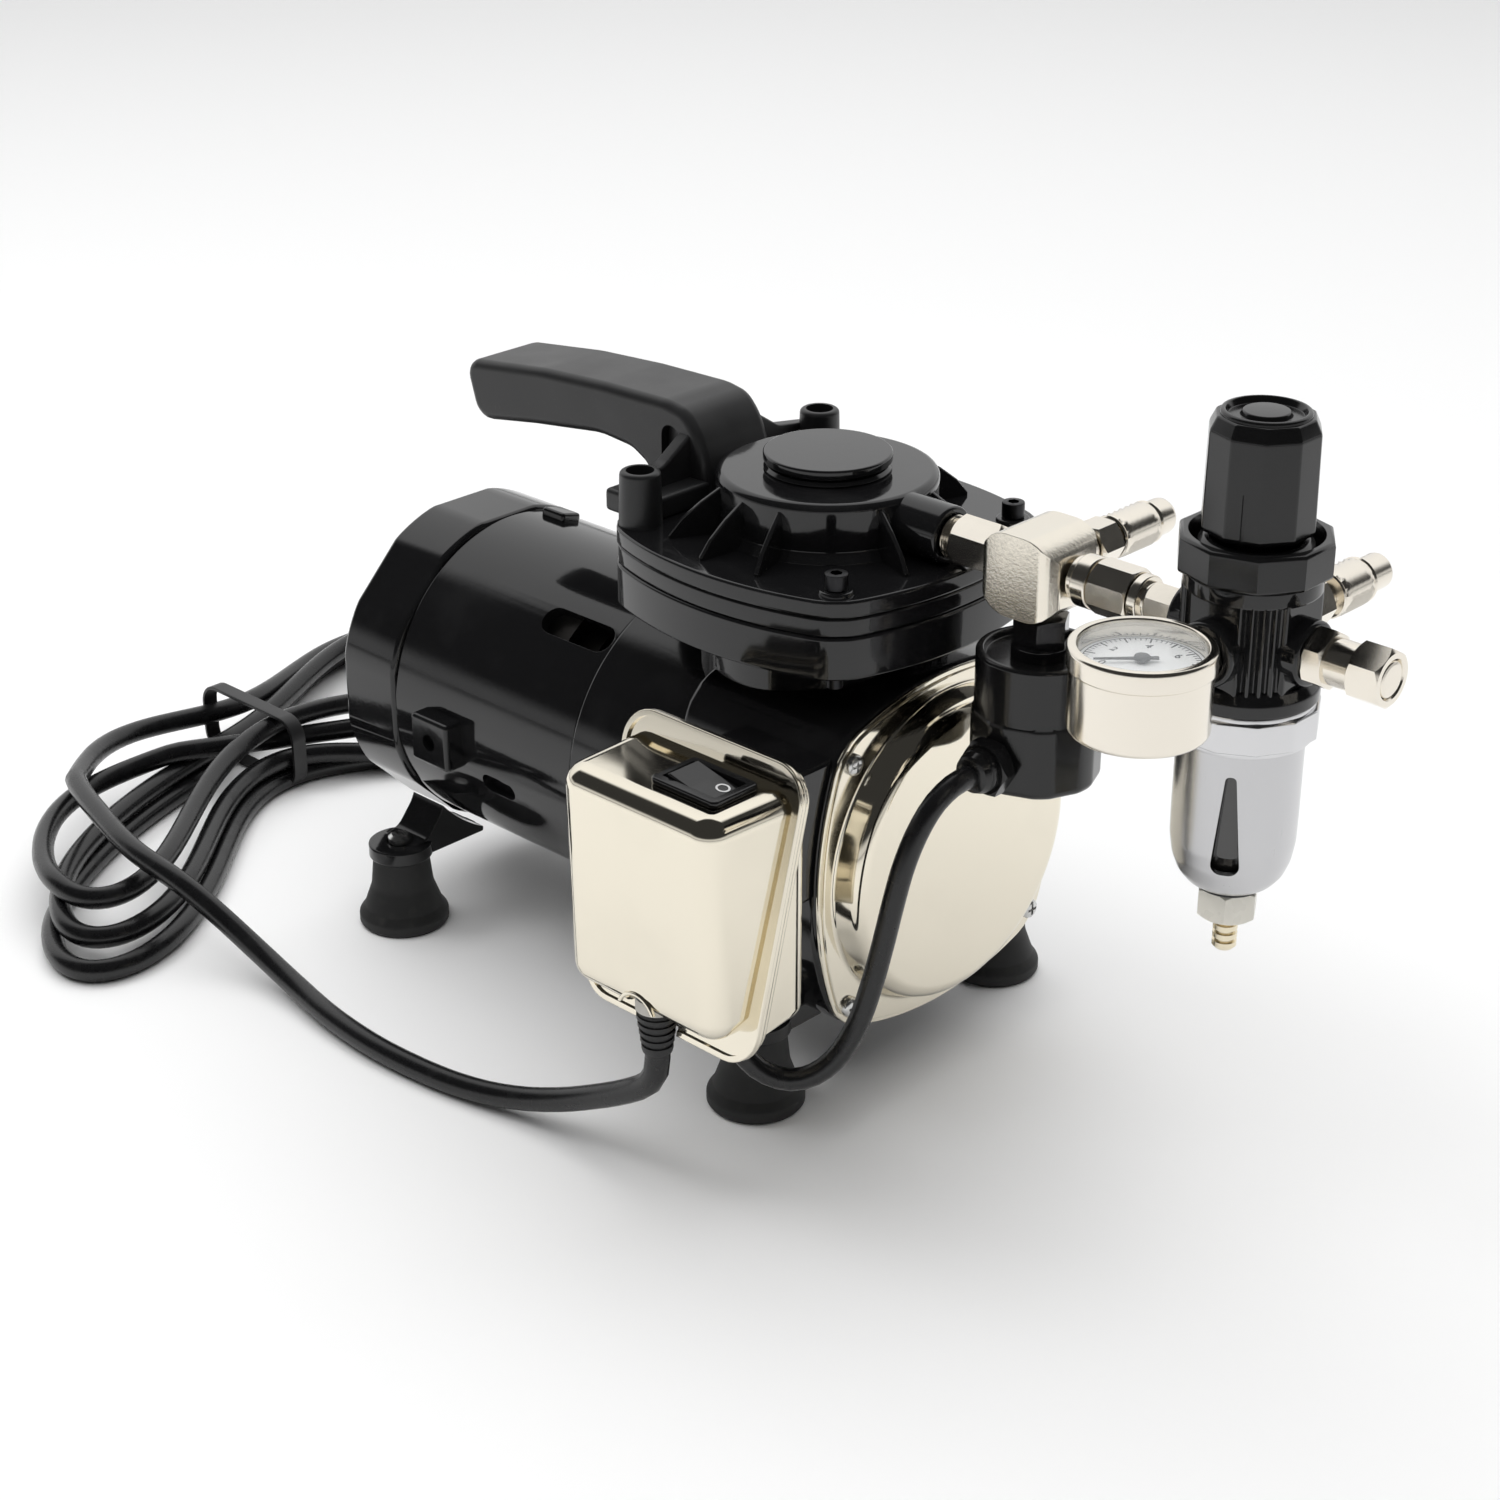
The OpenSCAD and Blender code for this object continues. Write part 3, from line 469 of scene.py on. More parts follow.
def finish(name):
    """A finish by name, made the first time it is asked for."""
    if name not in FINISHES:
        FINISHES[name] = MAKERS[name]()
    return FINISHES[name]


def dusty(f, colour, dust=0.012, amount=0.35):
    """A dark colour with faint dust that settles in soft patches."""
    patch = f.noise(18, 4).within(0.5, 0.75) * amount
    specks = f.noise(0.9, 1).within(0.7, 0.74) * 0.5
    return f.blend(patch.highest(specks), colour, tuple(c + dust for c in colour))


def enamel():
    f = Finish("gloss_black_enamel")
    peel = f.noise(1.6, 2, 0.4)
    smudge = f.noise(26, 3).within(0.45, 0.75)
    return f.coated(dusty(f, tuple(settings().enamel)), 0.075 + smudge * 0.06,
                    normal=f.bump(peel, 0.02, 0.35), specular_ior_level=0.55)


def cast_enamel():
    f = Finish("black_enamel_on_casting")
    grain = f.noise(1.1, 3, 0.6)
    return f.coated(dusty(f, tuple(settings().enamel)), 0.16 + f.noise(9) * 0.08,
                    normal=f.bump(grain, 0.05, 0.5), specular_ior_level=0.5)


def nylon():
    f = Finish("satin_black_nylon")
    grain = f.noise(0.45, 2)
    return f.coated(dusty(f, tuple(settings().nylon), 0.016), 0.33 + f.noise(12, 3) * 0.12,
                    normal=f.bump(grain, 0.02, 0.4))


def gloss_plastic():
    f = Finish("gloss_black_plastic")
    return f.coated(dusty(f, (0.006, 0.006, 0.0062), 0.005), 0.13 + f.noise(9, 3) * 0.08,
                    normal=f.bump(f.noise(3), 0.03, 0.3))


def nickel():
    f = Finish("polished_nickel")
    warm = tuple(settings().nickel)
    haze = f.noise(22, 4).within(0.42, 0.8)
    rolled = f.noise(14, 1)
    return f.coated(f.blend(haze * 0.5, warm, tuple(c * 0.93 for c in warm)),
                    0.075 + haze * 0.07, 1.0, normal=f.bump(rolled, 0.05, 0.35))


def fitting_nickel():
    f = Finish("nickel_on_turned_brass")
    tool = f.noise(0.35, 1, 0.5)
    return f.coated((0.84, 0.79, 0.70), 0.12 + f.noise(5, 3) * 0.08, 1.0,
                    normal=f.bump(tool, 0.012, 0.5))


def cast_nickel():
    f = Finish("nickel_on_casting")
    pits = f.noise(0.8, 3, 0.65)
    return f.coated((0.85, 0.80, 0.70), 0.17 + f.noise(2, 3) * 0.12, 1.0,
                    normal=f.bump(pits, 0.07, 0.7))


def metal(name, colour, rough, grain=0.4, depth=0.01):
    f = Finish(name)
    return f.coated(colour, rough + f.noise(6, 3) * 0.08, 1.0,
                    normal=f.bump(f.noise(grain, 2), depth, 0.5))


def rubber():
    f = Finish("matte_black_rubber")
    scuff = f.noise(3, 4).within(0.5, 0.8)
    return f.coated(f.blend(scuff * 0.6, (0.016, 0.016, 0.016), (0.04, 0.039, 0.037)),
                    0.62 + scuff * 0.16, normal=f.bump(f.noise(0.4, 2), 0.03, 0.7))


def jacket():
    f = Finish("cord_jacket")
    rub = f.noise(6, 3).within(0.5, 0.8)
    return f.coated(f.blend(rub * 0.5, (0.006, 0.006, 0.0065), (0.014, 0.014, 0.0145)),
                    0.27 + rub * 0.12, normal=f.bump(f.noise(0.6, 2), 0.02, 0.5))


def satin_chrome():
    f = Finish("satin_chrome")
    drawn = f.noise(0.5, 2, place=f.stretched(1, 1, 0.08))
    return f.coated((0.57, 0.57, 0.58), 0.2 + drawn * 0.1, 1.0, normal=f.bump(drawn, 0.008, 0.4))


def window():
    f = Finish("clear_window")
    return f.coated((0.75, 0.78, 0.8), 0.03, alpha=0.14, coat_weight=1.0, coat_roughness=0.02)


def smoked():
    f = Finish("smoked_bowl")
    return f.coated((0.022, 0.021, 0.02), 0.07 + f.noise(4) * 0.05, coat_weight=1.0,
                    coat_roughness=0.03)


def plain(name, colour, rough, grain=0.6, depth=0.01):
    f = Finish(name)
    shade = f.noise(4, 3)
    return f.coated(f.blend(shade * 0.3, colour, tuple(c * 0.85 for c in colour)),
                    rough + shade * 0.08, normal=f.bump(f.noise(grain, 2), depth, 0.4))


def felt():
    f = Finish("pressed_felt")
    hair = f.noise(0.5, 5, 0.8)
    return f.coated(f.blend(hair, (0.7, 0.66, 0.55), (0.85, 0.82, 0.74)), 0.9,
                    normal=f.bump(hair, 0.3, 0.9), sheen_weight=0.3)


MAKERS = {
    "enamel": enamel, "cast_enamel": cast_enamel, "nylon": nylon, "gloss_plastic": gloss_plastic,
    "nickel": nickel, "fitting": fitting_nickel, "cast_nickel": cast_nickel,
    "zinc": lambda: metal("zinc_plated_steel", (0.66, 0.66, 0.65), 0.2),
    "oxide": lambda: metal("black_oxide_steel", (0.035, 0.035, 0.037), 0.3),
    "bearing": lambda: metal("ground_steel", (0.72, 0.72, 0.73), 0.14),
    # stacked steel laminations, darkened well below the steel's own grey as painted shade, so the
    # inside of the motor reads dark through the vents
    "shade_darkened_laminations": lambda: metal("stacked_steel_darkened_as_shade", (0.10, 0.095, 0.09), 0.5, 0.3, 0.05),
    "aluminium": lambda: metal("cast_aluminium", (0.7, 0.7, 0.71), 0.36, 0.9, 0.06),
    "silver": lambda: metal("bright_silver_ring", (0.66, 0.66, 0.67), 0.13),
    "brass": lambda: metal("plated_brass", (0.8, 0.72, 0.55), 0.18),
    "rubber": rubber, "jacket": jacket, "satin_chrome": satin_chrome, "window": window,
    "smoked": smoked, "felt": felt,
    "cream": lambda: plain("cream_enamel_hex", (0.92, 0.89, 0.80), 0.24),
    "dial": lambda: plain("white_dial", (0.86, 0.86, 0.85), 0.4),
    "ink": lambda: plain("dial_ink", (0.02, 0.02, 0.02), 0.45),
    "white": lambda: plain("white_mark", (0.6, 0.6, 0.6), 0.45),
    "pointer": lambda: plain("black_pointer", (0.015, 0.015, 0.015), 0.35),
    "grommet": lambda: plain("pale_grommet", (0.62, 0.6, 0.55), 0.45),
    "capacitor": lambda: plain("capacitor_shell", (0.78, 0.78, 0.74), 0.35),
}

# ---------------------------------------------------------------- settings


def _size(label, what, millimetres, **rest):
    return bpy.props.FloatProperty(name=label, description=what, default=millimetres / 1000,
                                   unit="LENGTH", precision=5, min=0, **rest)


def _colour(label, what, value):
    return bpy.props.FloatVectorProperty(name=label, description=what, default=value,
                                         subtype="COLOR", min=0, max=1)


class CompressorSettings(bpy.types.PropertyGroup):
    """Sizes and colours of the machine that a user would change."""

    cord: _size("Mains cord", "Diameter of the mains cord", 6.3)
    lead: _size("Switch lead", "Diameter of the pressure switch's lead", 5.6)
    case_half: _size("Case half width", "Half width of the square castings", 46.5)
    case_arc: _size("Side bow", "Radius of each bowed side of the castings", 94)
    drum: _size("Head chamber", "Radius of the round chamber on the head", 28)
    cover_rise: _size("Front cover rise", "How far the front cover stands out", 9)
    grip_edge: _size("Grip edge", "Rounding of the handle's edges", 2.6)
    box_corner: _size("Box corner", "Rounding of the switch box's upright edges", 6.2)
    enamel: _colour("Enamel", "Gloss enamel on the castings", (0.007, 0.007, 0.0075))
    nylon: _colour("Nylon", "Handle, knob and switch mouldings", (0.012, 0.012, 0.0125))
    nickel: _colour("Nickel", "Polished nickel covers", (0.84, 0.785, 0.66))


class StageSettings(bpy.types.PropertyGroup):
    """Camera, floor and light."""

    lens: bpy.props.FloatProperty(name="Lens", description="Focal length of the camera",
                                  default=69.07, subtype="DISTANCE_CAMERA", unit="CAMERA")
    height: _size("Camera height", "Height of the camera above the floor", 398.5)
    floor: _colour("Floor", "Pale studio floor", (0.93, 0.93, 0.93))
    overhead: bpy.props.FloatProperty(name="Overhead light", description="Power of the panel",
                                      default=42.0, unit="POWER", min=0)
    key: bpy.props.FloatProperty(name="Key light", description="Power of the side light",
                                 default=3.0, unit="POWER", min=0)


def settings():
    return bpy.context.scene.compressor


class _Build(bpy.types.Operator):
    bl_options = {"REGISTER"}

    def execute(self, context):
        self.build(settings())
        return {"FINISHED"}


class COMPRESSOR_OT_stage(_Build):
    """Camera, pale floor and soft studio light"""

    bl_idname = "compressor.stage"
    bl_label = "Stage"

    def build(self, look):
        look = bpy.context.scene.compressor_stage
        scene = bpy.context.scene
        scene.view_settings.view_transform = "Standard"
        data = bpy.data.cameras.new("Camera")
        data.lens, data.sensor_width, data.clip_end = look.lens, 36, 100
        camera = bpy.data.objects.new("Camera", data)
        camera.location = (0.4431, -0.4826, look.height)
        camera.rotation_euler = (radians(64.5), 0, radians(43.78))
        scene.collection.objects.link(camera)
        scene.camera = camera

        bm = bmesh.new()
        bmesh.ops.create_grid(bm, x_segments=1, y_segments=1, size=12)
        mesh = bpy.data.meshes.new("floor")
        bm.to_mesh(mesh)
        bm.free()
        ground = bpy.data.objects.new("floor", mesh)
        f = Finish("pale_floor")
        mesh.materials.append(f.coated(tuple(look.floor), 0.75 + f.noise(60) * 0.05))
        scene.collection.objects.link(ground)

        def lamp(name, power, size, place, toward, glossy=True, long=None, tint=(1, 1, 1)):
            light = bpy.data.lights.new(name, "AREA")
            light.energy, light.size, light.color = power, size, tint
            if long:
                light.shape, light.size_y = "RECTANGLE", long
            spot = bpy.data.objects.new(name, light)
            spot.location = place
            aim = Vector(toward) - Vector(place)
            spot.rotation_euler = aim.to_track_quat("-Z", "Y").to_euler()
            spot.visible_glossy = glossy
            scene.collection.objects.link(spot)

        lamp("overhead", look.overhead, 3.0, (0, 0, 1.7), (0, 0, 0), glossy=False)
        lamp("key", look.key, 0.5, (-0.9, -0.5, 1.1), (0, 0, 0.08), glossy=False)

        # The room: bright beyond the machine, dim behind the camera
        world = bpy.data.worlds.new("studio")
        scene.world = world
        world.use_nodes = True
        tree = world.node_tree
        tree.nodes.clear()
        w = Finish.__new__(Finish)
        w.tree = tree
        way = w.node("ShaderNodeTexCoord").outputs["Generated"]
        far = w.node("ShaderNodeVectorMath", {"operation": "DOT_PRODUCT"})
        w.feed(far.inputs[0], way)
        far.inputs[1].default_value = (-0.66, 0.75, 0.0)
        ahead = Wire(w, far.outputs["Value"])
        up = Wire(w, w.node("ShaderNodeSeparateXYZ", None, {"Vector": way}).outputs["Z"])
        bright = ahead.within(0.26, 0.40)
        low = 1 - up.within(0.06, 0.20)
        sky = 1.05 + up * 0.35
        back = w.node("ShaderNodeBackground")
        w.feed(back.inputs["Strength"], (bright.highest(low * 0.75)) * sky + 0.045)
        out = w.node("ShaderNodeOutputWorld")
        tree.links.new(back.outputs[0], out.inputs["Surface"])


# ---------------------------------------------------------------- cords

# Middle line of the mains cord, in millimetres in the part's own frame: out of the strain
# relief, over the floor to the tied hank, three turns round its two lobes, and to the plug.
CORD_OUT = [(17.5, -71, 31), (14, -71, 25.5), (6, -71.5, 20), (-4, -72, 14.5), (-15, -73.5, 9.5),
            (-27, -76, 5.8), (-40, -79, 3.8), (-55, -81.5, 3.2), (-75, -83, 3.4), (-95, -82, 3.9),
            (-113, -79.5, 5), (-130, -78.5, 8.5), (-146, -80, 15), (-160, -82, 20.5),
            (-182, -82, 23), (-206, -76, 23), (-232, -67, 22), (-254, -54, 21), (-268, -38, 19),
            (-272, -23, 17), (-264, -11, 16.5), (-250, -4, 16.5)]
LOBES = [
    # each turn: right lobe out and back, then left lobe out and back
    [(-245, 6, 16.5), (-262, 26, 13), (-281, 54, 9.6), (-290, 82, 9.6), (-280, 110, 9.6),
     (-256, 128, 9.6), (-226, 130, 9.6), (-200, 116, 9.6), (-186, 92, 9.6), (-186, 64, 9.6),
     (-199, 38, 6), (-219, 17, 3.4), (-232, 3, 3.3), (-229, -5, 3.3), (-216, -20, 3.2),
     (-192, -45, 3.2), (-171, -66, 3.2), (-157, -85, 3.2), (-148, -104, 3.2), (-148, -119, 3.2),
     (-156, -127, 3.2), (-168, -127, 3.2), (-180, -121, 3.2), (-192, -111, 3.2),
     (-207, -94, 3.2), (-220, -74, 3.2), (-231, -52, 3.2), (-239, -32, 3.2), (-243, -16, 3.2)],
    [(-246, 0, 3.2), (-258, 20, 3.2), (-277, 48, 3.2), (-293, 74, 3.2), (-288, 104, 3.2),
     (-266, 127, 3.2), (-234, 134, 3.2), (-202, 124, 3.2), (-181, 100, 3.2), (-177, 72, 3.2),
     (-189, 44, 6), (-212, 21, 9), (-230, 5, 10), (-232, -6, 9.7), (-221, -22, 9.5),
     (-193, -48, 9.5), (-175, -68, 9.5), (-161, -88, 9.5), (-155, -104, 9.5), (-158, -116, 9.5),
     (-168, -121, 9.5), (-183, -116, 9.5), (-197, -107, 9.5), (-209, -94, 9.5),
     (-219, -77, 9.5), (-230, -56, 9.5), (-239, -36, 9.6), (-244, -16, 9.8)],
    [(-246, 0, 9.8), (-253, 18, 10), (-266, 44, 15.9), (-281, 76, 15.9), (-273, 104, 15.9),
     (-250, 121, 15.9), (-222, 121, 15.9), (-200, 105, 15.9), (-193, 82, 15.9),
     (-197, 56, 14), (-212, 32, 14), (-229, 12, 16), (-236, -4, 16.3), (-234, -20, 14),
     (-240, -33, 14.5), (-250, -43, 15), (-253, -55, 15.5), (-247, -70, 15.9), (-233, -83, 15.9),
     (-214, -96, 15.9), (-196, -107, 15.9), (-178, -113, 15.9), (-166, -110, 15.9),
     (-163, -100, 15.9), (-169, -85, 15.9), (-182, -69, 15.9), (-202, -50, 15.9),
     (-222, -28, 15.9), (-233, -10, 19)],
    [(-238, 2, 21), (-232, 20, 21), (-220, 42, 21), (-210, 64, 19), (-200, 80, 15),
     (-186, 89, 11.5), (-176, 92.7, 11), (-167, 94, 11), (-160, 95, 11)],
]
CORD_END = (-167, 94, 11)
WAIST = (-239, 3)


# Middle line of the pressure switch's lead, from its gland down to the box
LEAD_ROUTE = [(58, -12, 100), (57.5, -18, 97), (56.5, -22.5, 91), (55.5, -26, 83),
              (54.5, -28.5, 73), (53.5, -30.5, 63), (52.5, -33, 53), (51, -36, 43),
              (48.5, -40.5, 34.5), (44.5, -45, 29.5), (39.5, -49, 28), (34.5, -53, 30.5),
              (30.5, -56, 36), (28.5, -57.5, 41)]


def spaced(points, step):
    """Points along a smooth curve through these, step apart."""
    p = np.array(points, float)
    ends = np.vstack([2 * p[0] - p[1], p, 2 * p[-1] - p[-2]])
    fine = []
    for i in range(1, len(ends) - 2):
        a, b, c, d = ends[i - 1:i + 3]
        for t in np.linspace(0, 1, 12, endpoint=False):
            fine.append(0.5 * (2 * b + (c - a) * t + (2 * a - 5 * b + 4 * c - d) * t ** 2
                               + (3 * b - a - 3 * c + d) * t ** 3))
    fine = np.array(fine + [p[-1]])
    run = np.concatenate([[0], np.cumsum(np.linalg.norm(np.diff(fine, axis=0), axis=1))])
    marks = np.linspace(0, run[-1], max(2, round(run[-1] / step)) + 1)
    return np.stack([np.interp(marks, run, fine[:, k]) for k in range(3)], 1)


def settled(line, thick, held, low, high, rounds=200):
    """Pushes a cord's line out of itself and up off the floor, and smooths its bends."""
    step = np.linalg.norm(line[1] - line[0])
    place = np.arange(len(line))
    near = np.abs(place[:, None] - place) > 3.2 * thick / step
    fixed = line[held].copy()
    for _ in range(rounds):
        gap = line[:, None] - line[None]
        reach = np.linalg.norm(gap, axis=2) + 1e-9
        press = np.where(near & (reach < thick * 1.03), (thick * 1.03 - reach) * 0.3, 0)
        line = line + np.clip((gap / reach[..., None] * press[..., None]).sum(1), -0.5, 0.5)
        line[1:-1] += 0.25 * ((line[:-2] + line[2:]) / 2 - line[1:-1])
        line[:, 2] -= 0.01
        line = np.clip(line, low, high)
        line[held] = fixed
    return line


def cord_curve(name, line, thick, finish_name):
    """A round cord along a line of points in millimetres in the part's own frame."""
    data = bpy.data.curves.new(name, "CURVE")
    data.dimensions, data.resolution_u = "3D", 1
    data.bevel_depth, data.bevel_resolution = thick / 2000, 5
    data.use_fill_caps = True
    spline = data.splines.new("POLY")
    spline.points.add(len(line) - 1)
    for point, (x, y, z) in zip(spline.points, line):
        point.co = (x / 1000, y / 1000, z / 1000, 1)
    spline.use_smooth = True
    piece = bpy.data.objects.new(name, data)
    data.materials.append(finish(finish_name))
    bpy.context.scene.collection.objects.link(piece)
    return piece


class COMPRESSOR_OT_cords(_Build):
    """Mains cord with its tied hank, tie and plug"""

    bl_idname = "compressor.cords"
    bl_label = "Cords"

    def build(self, look):
        strain, hank = _row("cord_gland"), _row("cord_hank")
        exit_at = Vector(((strain[0].x + strain[1].x) / 2, (strain[0].y + strain[1].y) / 2,
                          strain[0].z))
        thick = look.cord * 1000
        out = spaced([exit_at + Vector((0, 0, 7)), exit_at, *CORD_OUT], 4.5)
        turns = [(x + (WAIST[0] - x) * max(0.0, 0.55 - abs(y - WAIST[1]) / 60), y, z)
                 for turn in LOBES for x, y, z in turn]
        line = spaced([*out, *turns], 4.5)
        held = np.zeros(len(line), bool)
        held[:len(out) - 20] = True
        held[-4:] = True
        low = (hank[0].x + thick / 2, hank[0].y + thick / 2, thick / 2)
        high = (exit_at.x + 30, hank[1].y - thick / 2, 60)
        line = settled(line, thick, held, low, high)
        cord = cord_curve("mains_cord", line, thick, "jacket")
        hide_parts("power_cord", "cord_hank")
        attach(cord, frame["nodes"]["power_cord"]["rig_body"])
        pieces = [self.tie(line), *self.plug(look)]

    def tie(self, line):
        """A strap round the strands where the hank is narrowest."""
        row = line - np.array(ORIGIN)
        waist = WAIST[1] - ORIGIN.y
        near = row[(np.abs(row[:, 1] - waist) < 3) & (row[:, 0] < -200)]
        low, high = near.min(0) - 3.3, near.max(0) + 3.3
        middle, half = (low + high) / 2, (high - low) / 2 + 0.5
        half[2] = min(half[2], middle[2] - 0.2)
        corners = [(-half[0], -half[2]), (half[0], -half[2]), (half[0], half[2]),
                   (-half[0], half[2])]
        grown = [(u * (1 + 1.0 / half[0]), v * (1 + 1.0 / half[2])) for u, v in corners]
        band = carved(prism(rounded(grown, 7, 8), 5, (middle[0], waist - 2.5, middle[2] + 1), "y",
                            0.35, 2, 60),
                      prism(rounded(corners, 6, 8), 9, (middle[0], waist - 4.5, middle[2] + 1),
                            "y"))
        return show(band, "hank_tie", finish("nylon"), body="compressor", slot="satin_black_plastic")

    def plug(self, look):
        """Moulded three-pin plug at the cord's end."""
        body = pillow(rounded([(-9, -12.5), (9, -12.5), (9, 12.5), (-9, 12.5)],
                              [5, 5, 8, 8], 6), 30, 2.4, (0, 0, 12))
        for v in body.verts:
            v.co.y *= 1 - 0.16 * max(0.0, (24 - v.co.z) / 12)
        relief = [(0, 0.6), (3.7, 0.6)]
        for k in range(5):
            relief += [(4.0 + 0.25 * k, 1.2 + 2.3 * k), (4.0 + 0.25 * k, 2.6 + 2.3 * k),
                       (3.6 + 0.25 * k, 2.8 + 2.3 * k), (3.6 + 0.25 * k, 3.3 + 2.3 * k)]
        relief += [(4.8, 14), (0, 14)]
        body = joined(body, turned(relief, steps=40))
        pins = [block((6.4, 1.5, 18), (0, y, 50), 0.5) for y in (-6.35, 6.35)]
        pins.append(turned([(0, 41), (2.4, 41), (2.4, 61), (0, 61)], (4.6, 0, 0), steps=32,
                           soft=[0, 0, 1.6, 0]))
        pins = together(*pins)
        way = (Matrix.Translation(CORD_END) @ Matrix.Rotation(radians(8), 4, "Z")
               @ Matrix.Rotation(radians(90), 4, "Y"))
        for bm in (body, pins):
            bm.transform(Matrix.Translation(-ORIGIN) @ way)
        moulding = show(body, "plug_moulding", finish("rubber"), "plug")
        blades = show(pins, "plug_pins", finish("fitting"), body="compressor",
                      slot="nickel_fittings")
        return moulding, blades


# ---------------------------------------------------------------- motor and castings


def clipped(radius, half_flats, sides, turn=0.0, steps=144):
    """A circle's outline with broad flats cut off it."""
    points, share = [], 2 * pi / sides
    for k in range(steps):
        a = 2 * pi * k / steps
        off = (a - turn + share / 2) % share - share / 2
        reach = min(radius, half_flats / cos(off))
        points.append((reach * cos(a), reach * sin(a)))
    return points


def capsule(length, width, steps=10):
    """Outline of a long oval."""
    half, r = (length - width) / 2, width / 2
    return ([(half + r * cos(a), r * sin(a)) for a in
             [-pi / 2 + pi * k / steps for k in range(steps + 1)]]
            + [(-half + r * cos(a), r * sin(a)) for a in
               [pi / 2 + pi * k / steps for k in range(steps + 1)]])


def about_shaft(bm, angle):
    return spun(bm, angle, (0, 0, SHAFT_Z), "X")


def socket_screw(x, y, low, seat, top, r=2.0, head_r=2.9):
    """Cap screw with a hex socket, standing on Z."""
    body = turned([(0, low), (r, low), (r, seat), (head_r, seat), (head_r, top), (0, top)],
                  (x, y, 0), steps=36)
    eased(body, 0.35, 2, 50)
    return carved(body, prism(polygon(6, 2.7), 6, (x, y, top - 2.6)))


class COMPRESSOR_OT_motor(_Build):
    """Motor housing, rear end bell and the parts inside them"""

    bl_idname = "compressor.motor"
    bl_label = "Motor"

    def build(self, look):
        b = Span("motor_housing")
        x0, x1, r, wall = b.low.x, b.high.x, TUBE_R, TUBE_WALL
        tube = turned([(r - wall, x0), (r, x0), (r, x1), (r - wall, x1)], (0, 0, SHAFT_Z), "x",
                      120, soft=0.7)
        vents = []
        for side in (-1, 1):
            slot = prism(capsule(26, 8), 12, (x0 + 57, 0, SHAFT_Z + r - 8))
            vents.append(about_shaft(slot, side * -38))
        tube = carved(tube, *vents)
        eased(tube, 0.6, 2, 50)
        lugs = []
        for side in (-1, 1):
            lug = block((15, 10, 14), (x0 + 20.5, side * (r + 0.6), SHAFT_Z - 2), 1.3)
            dimple = rod(2.4, 0, 9, (x0 + 20.5, side * (r + 3), SHAFT_Z - 2),
                         "y" if side > 0 else "-y", 24)
            lugs.append(carved(lug, dimple))
        tube = joined(tube, *lugs)
        # lug on the top, and oval recesses beside the lower ones
        tube = joined(tube, about_shaft(block((9, 7, 7), (x0 + 9, 0, SHAFT_Z + r - 1.2), 1), -14))
        for side in (-1, 1):
            well = about_shaft(prism(capsule(13, 5.5), 8, (x0 + 41, 0, SHAFT_Z + r - 2.2)),
                               side * -104)
            tube = carved(tube, well)
        show(tube, "motor_tube", finish("enamel"), "motor_housing", smooth=35)

        b = Span("rear_end_bell")
        r, half = b.size.y / 2, b.size.y / 2 * 1.055 * cos(pi / 8)
        bell = prism(clipped(r, half, 8), b.size.x, (b.low.x, 0, SHAFT_Z), "x")
        eased(bell, 1.6, 4, 60)
        bell = carved(bell, rod(r - 6, b.low.x + wall, b.high.x + 1, (0, 0, SHAFT_Z), "x"))
        holes = [rod(5, -1, wall + 1, (b.low.x, 0, SHAFT_Z), "x", 32)]
        for k in range(12):
            hole = rod(3, -1, wall + 1, (b.low.x, 0, SHAFT_Z + 30), "x", 24)
            holes.append(about_shaft(hole, 30 * k))
        bell = carved(bell, together(*holes))
        seat = turned([(11.05, wall - 0.2), (15, wall - 0.2), (15, 14), (11.05, 14)],
                      (b.low.x, 0, SHAFT_Z), "x", soft=0.5)
        show(together(bell, seat), "rear_bell", finish("enamel"), "rear_end_bell", smooth=35)

        # the stator and rotor take the darkened lamination finish: their own steel, painted darker
        # as shade inside the motor
        paint_cad(finish("shade_darkened_laminations"), "stator", "rotor_core")
        paint_cad(finish("bearing"), "bearings", "motor_shaft")
        paint_cad(finish("aluminium"), "connecting_rod")
        paint_cad(finish("felt"), "intake_filter", "filter_element")
        paint_cad(finish("capacitor"), "run_capacitor")


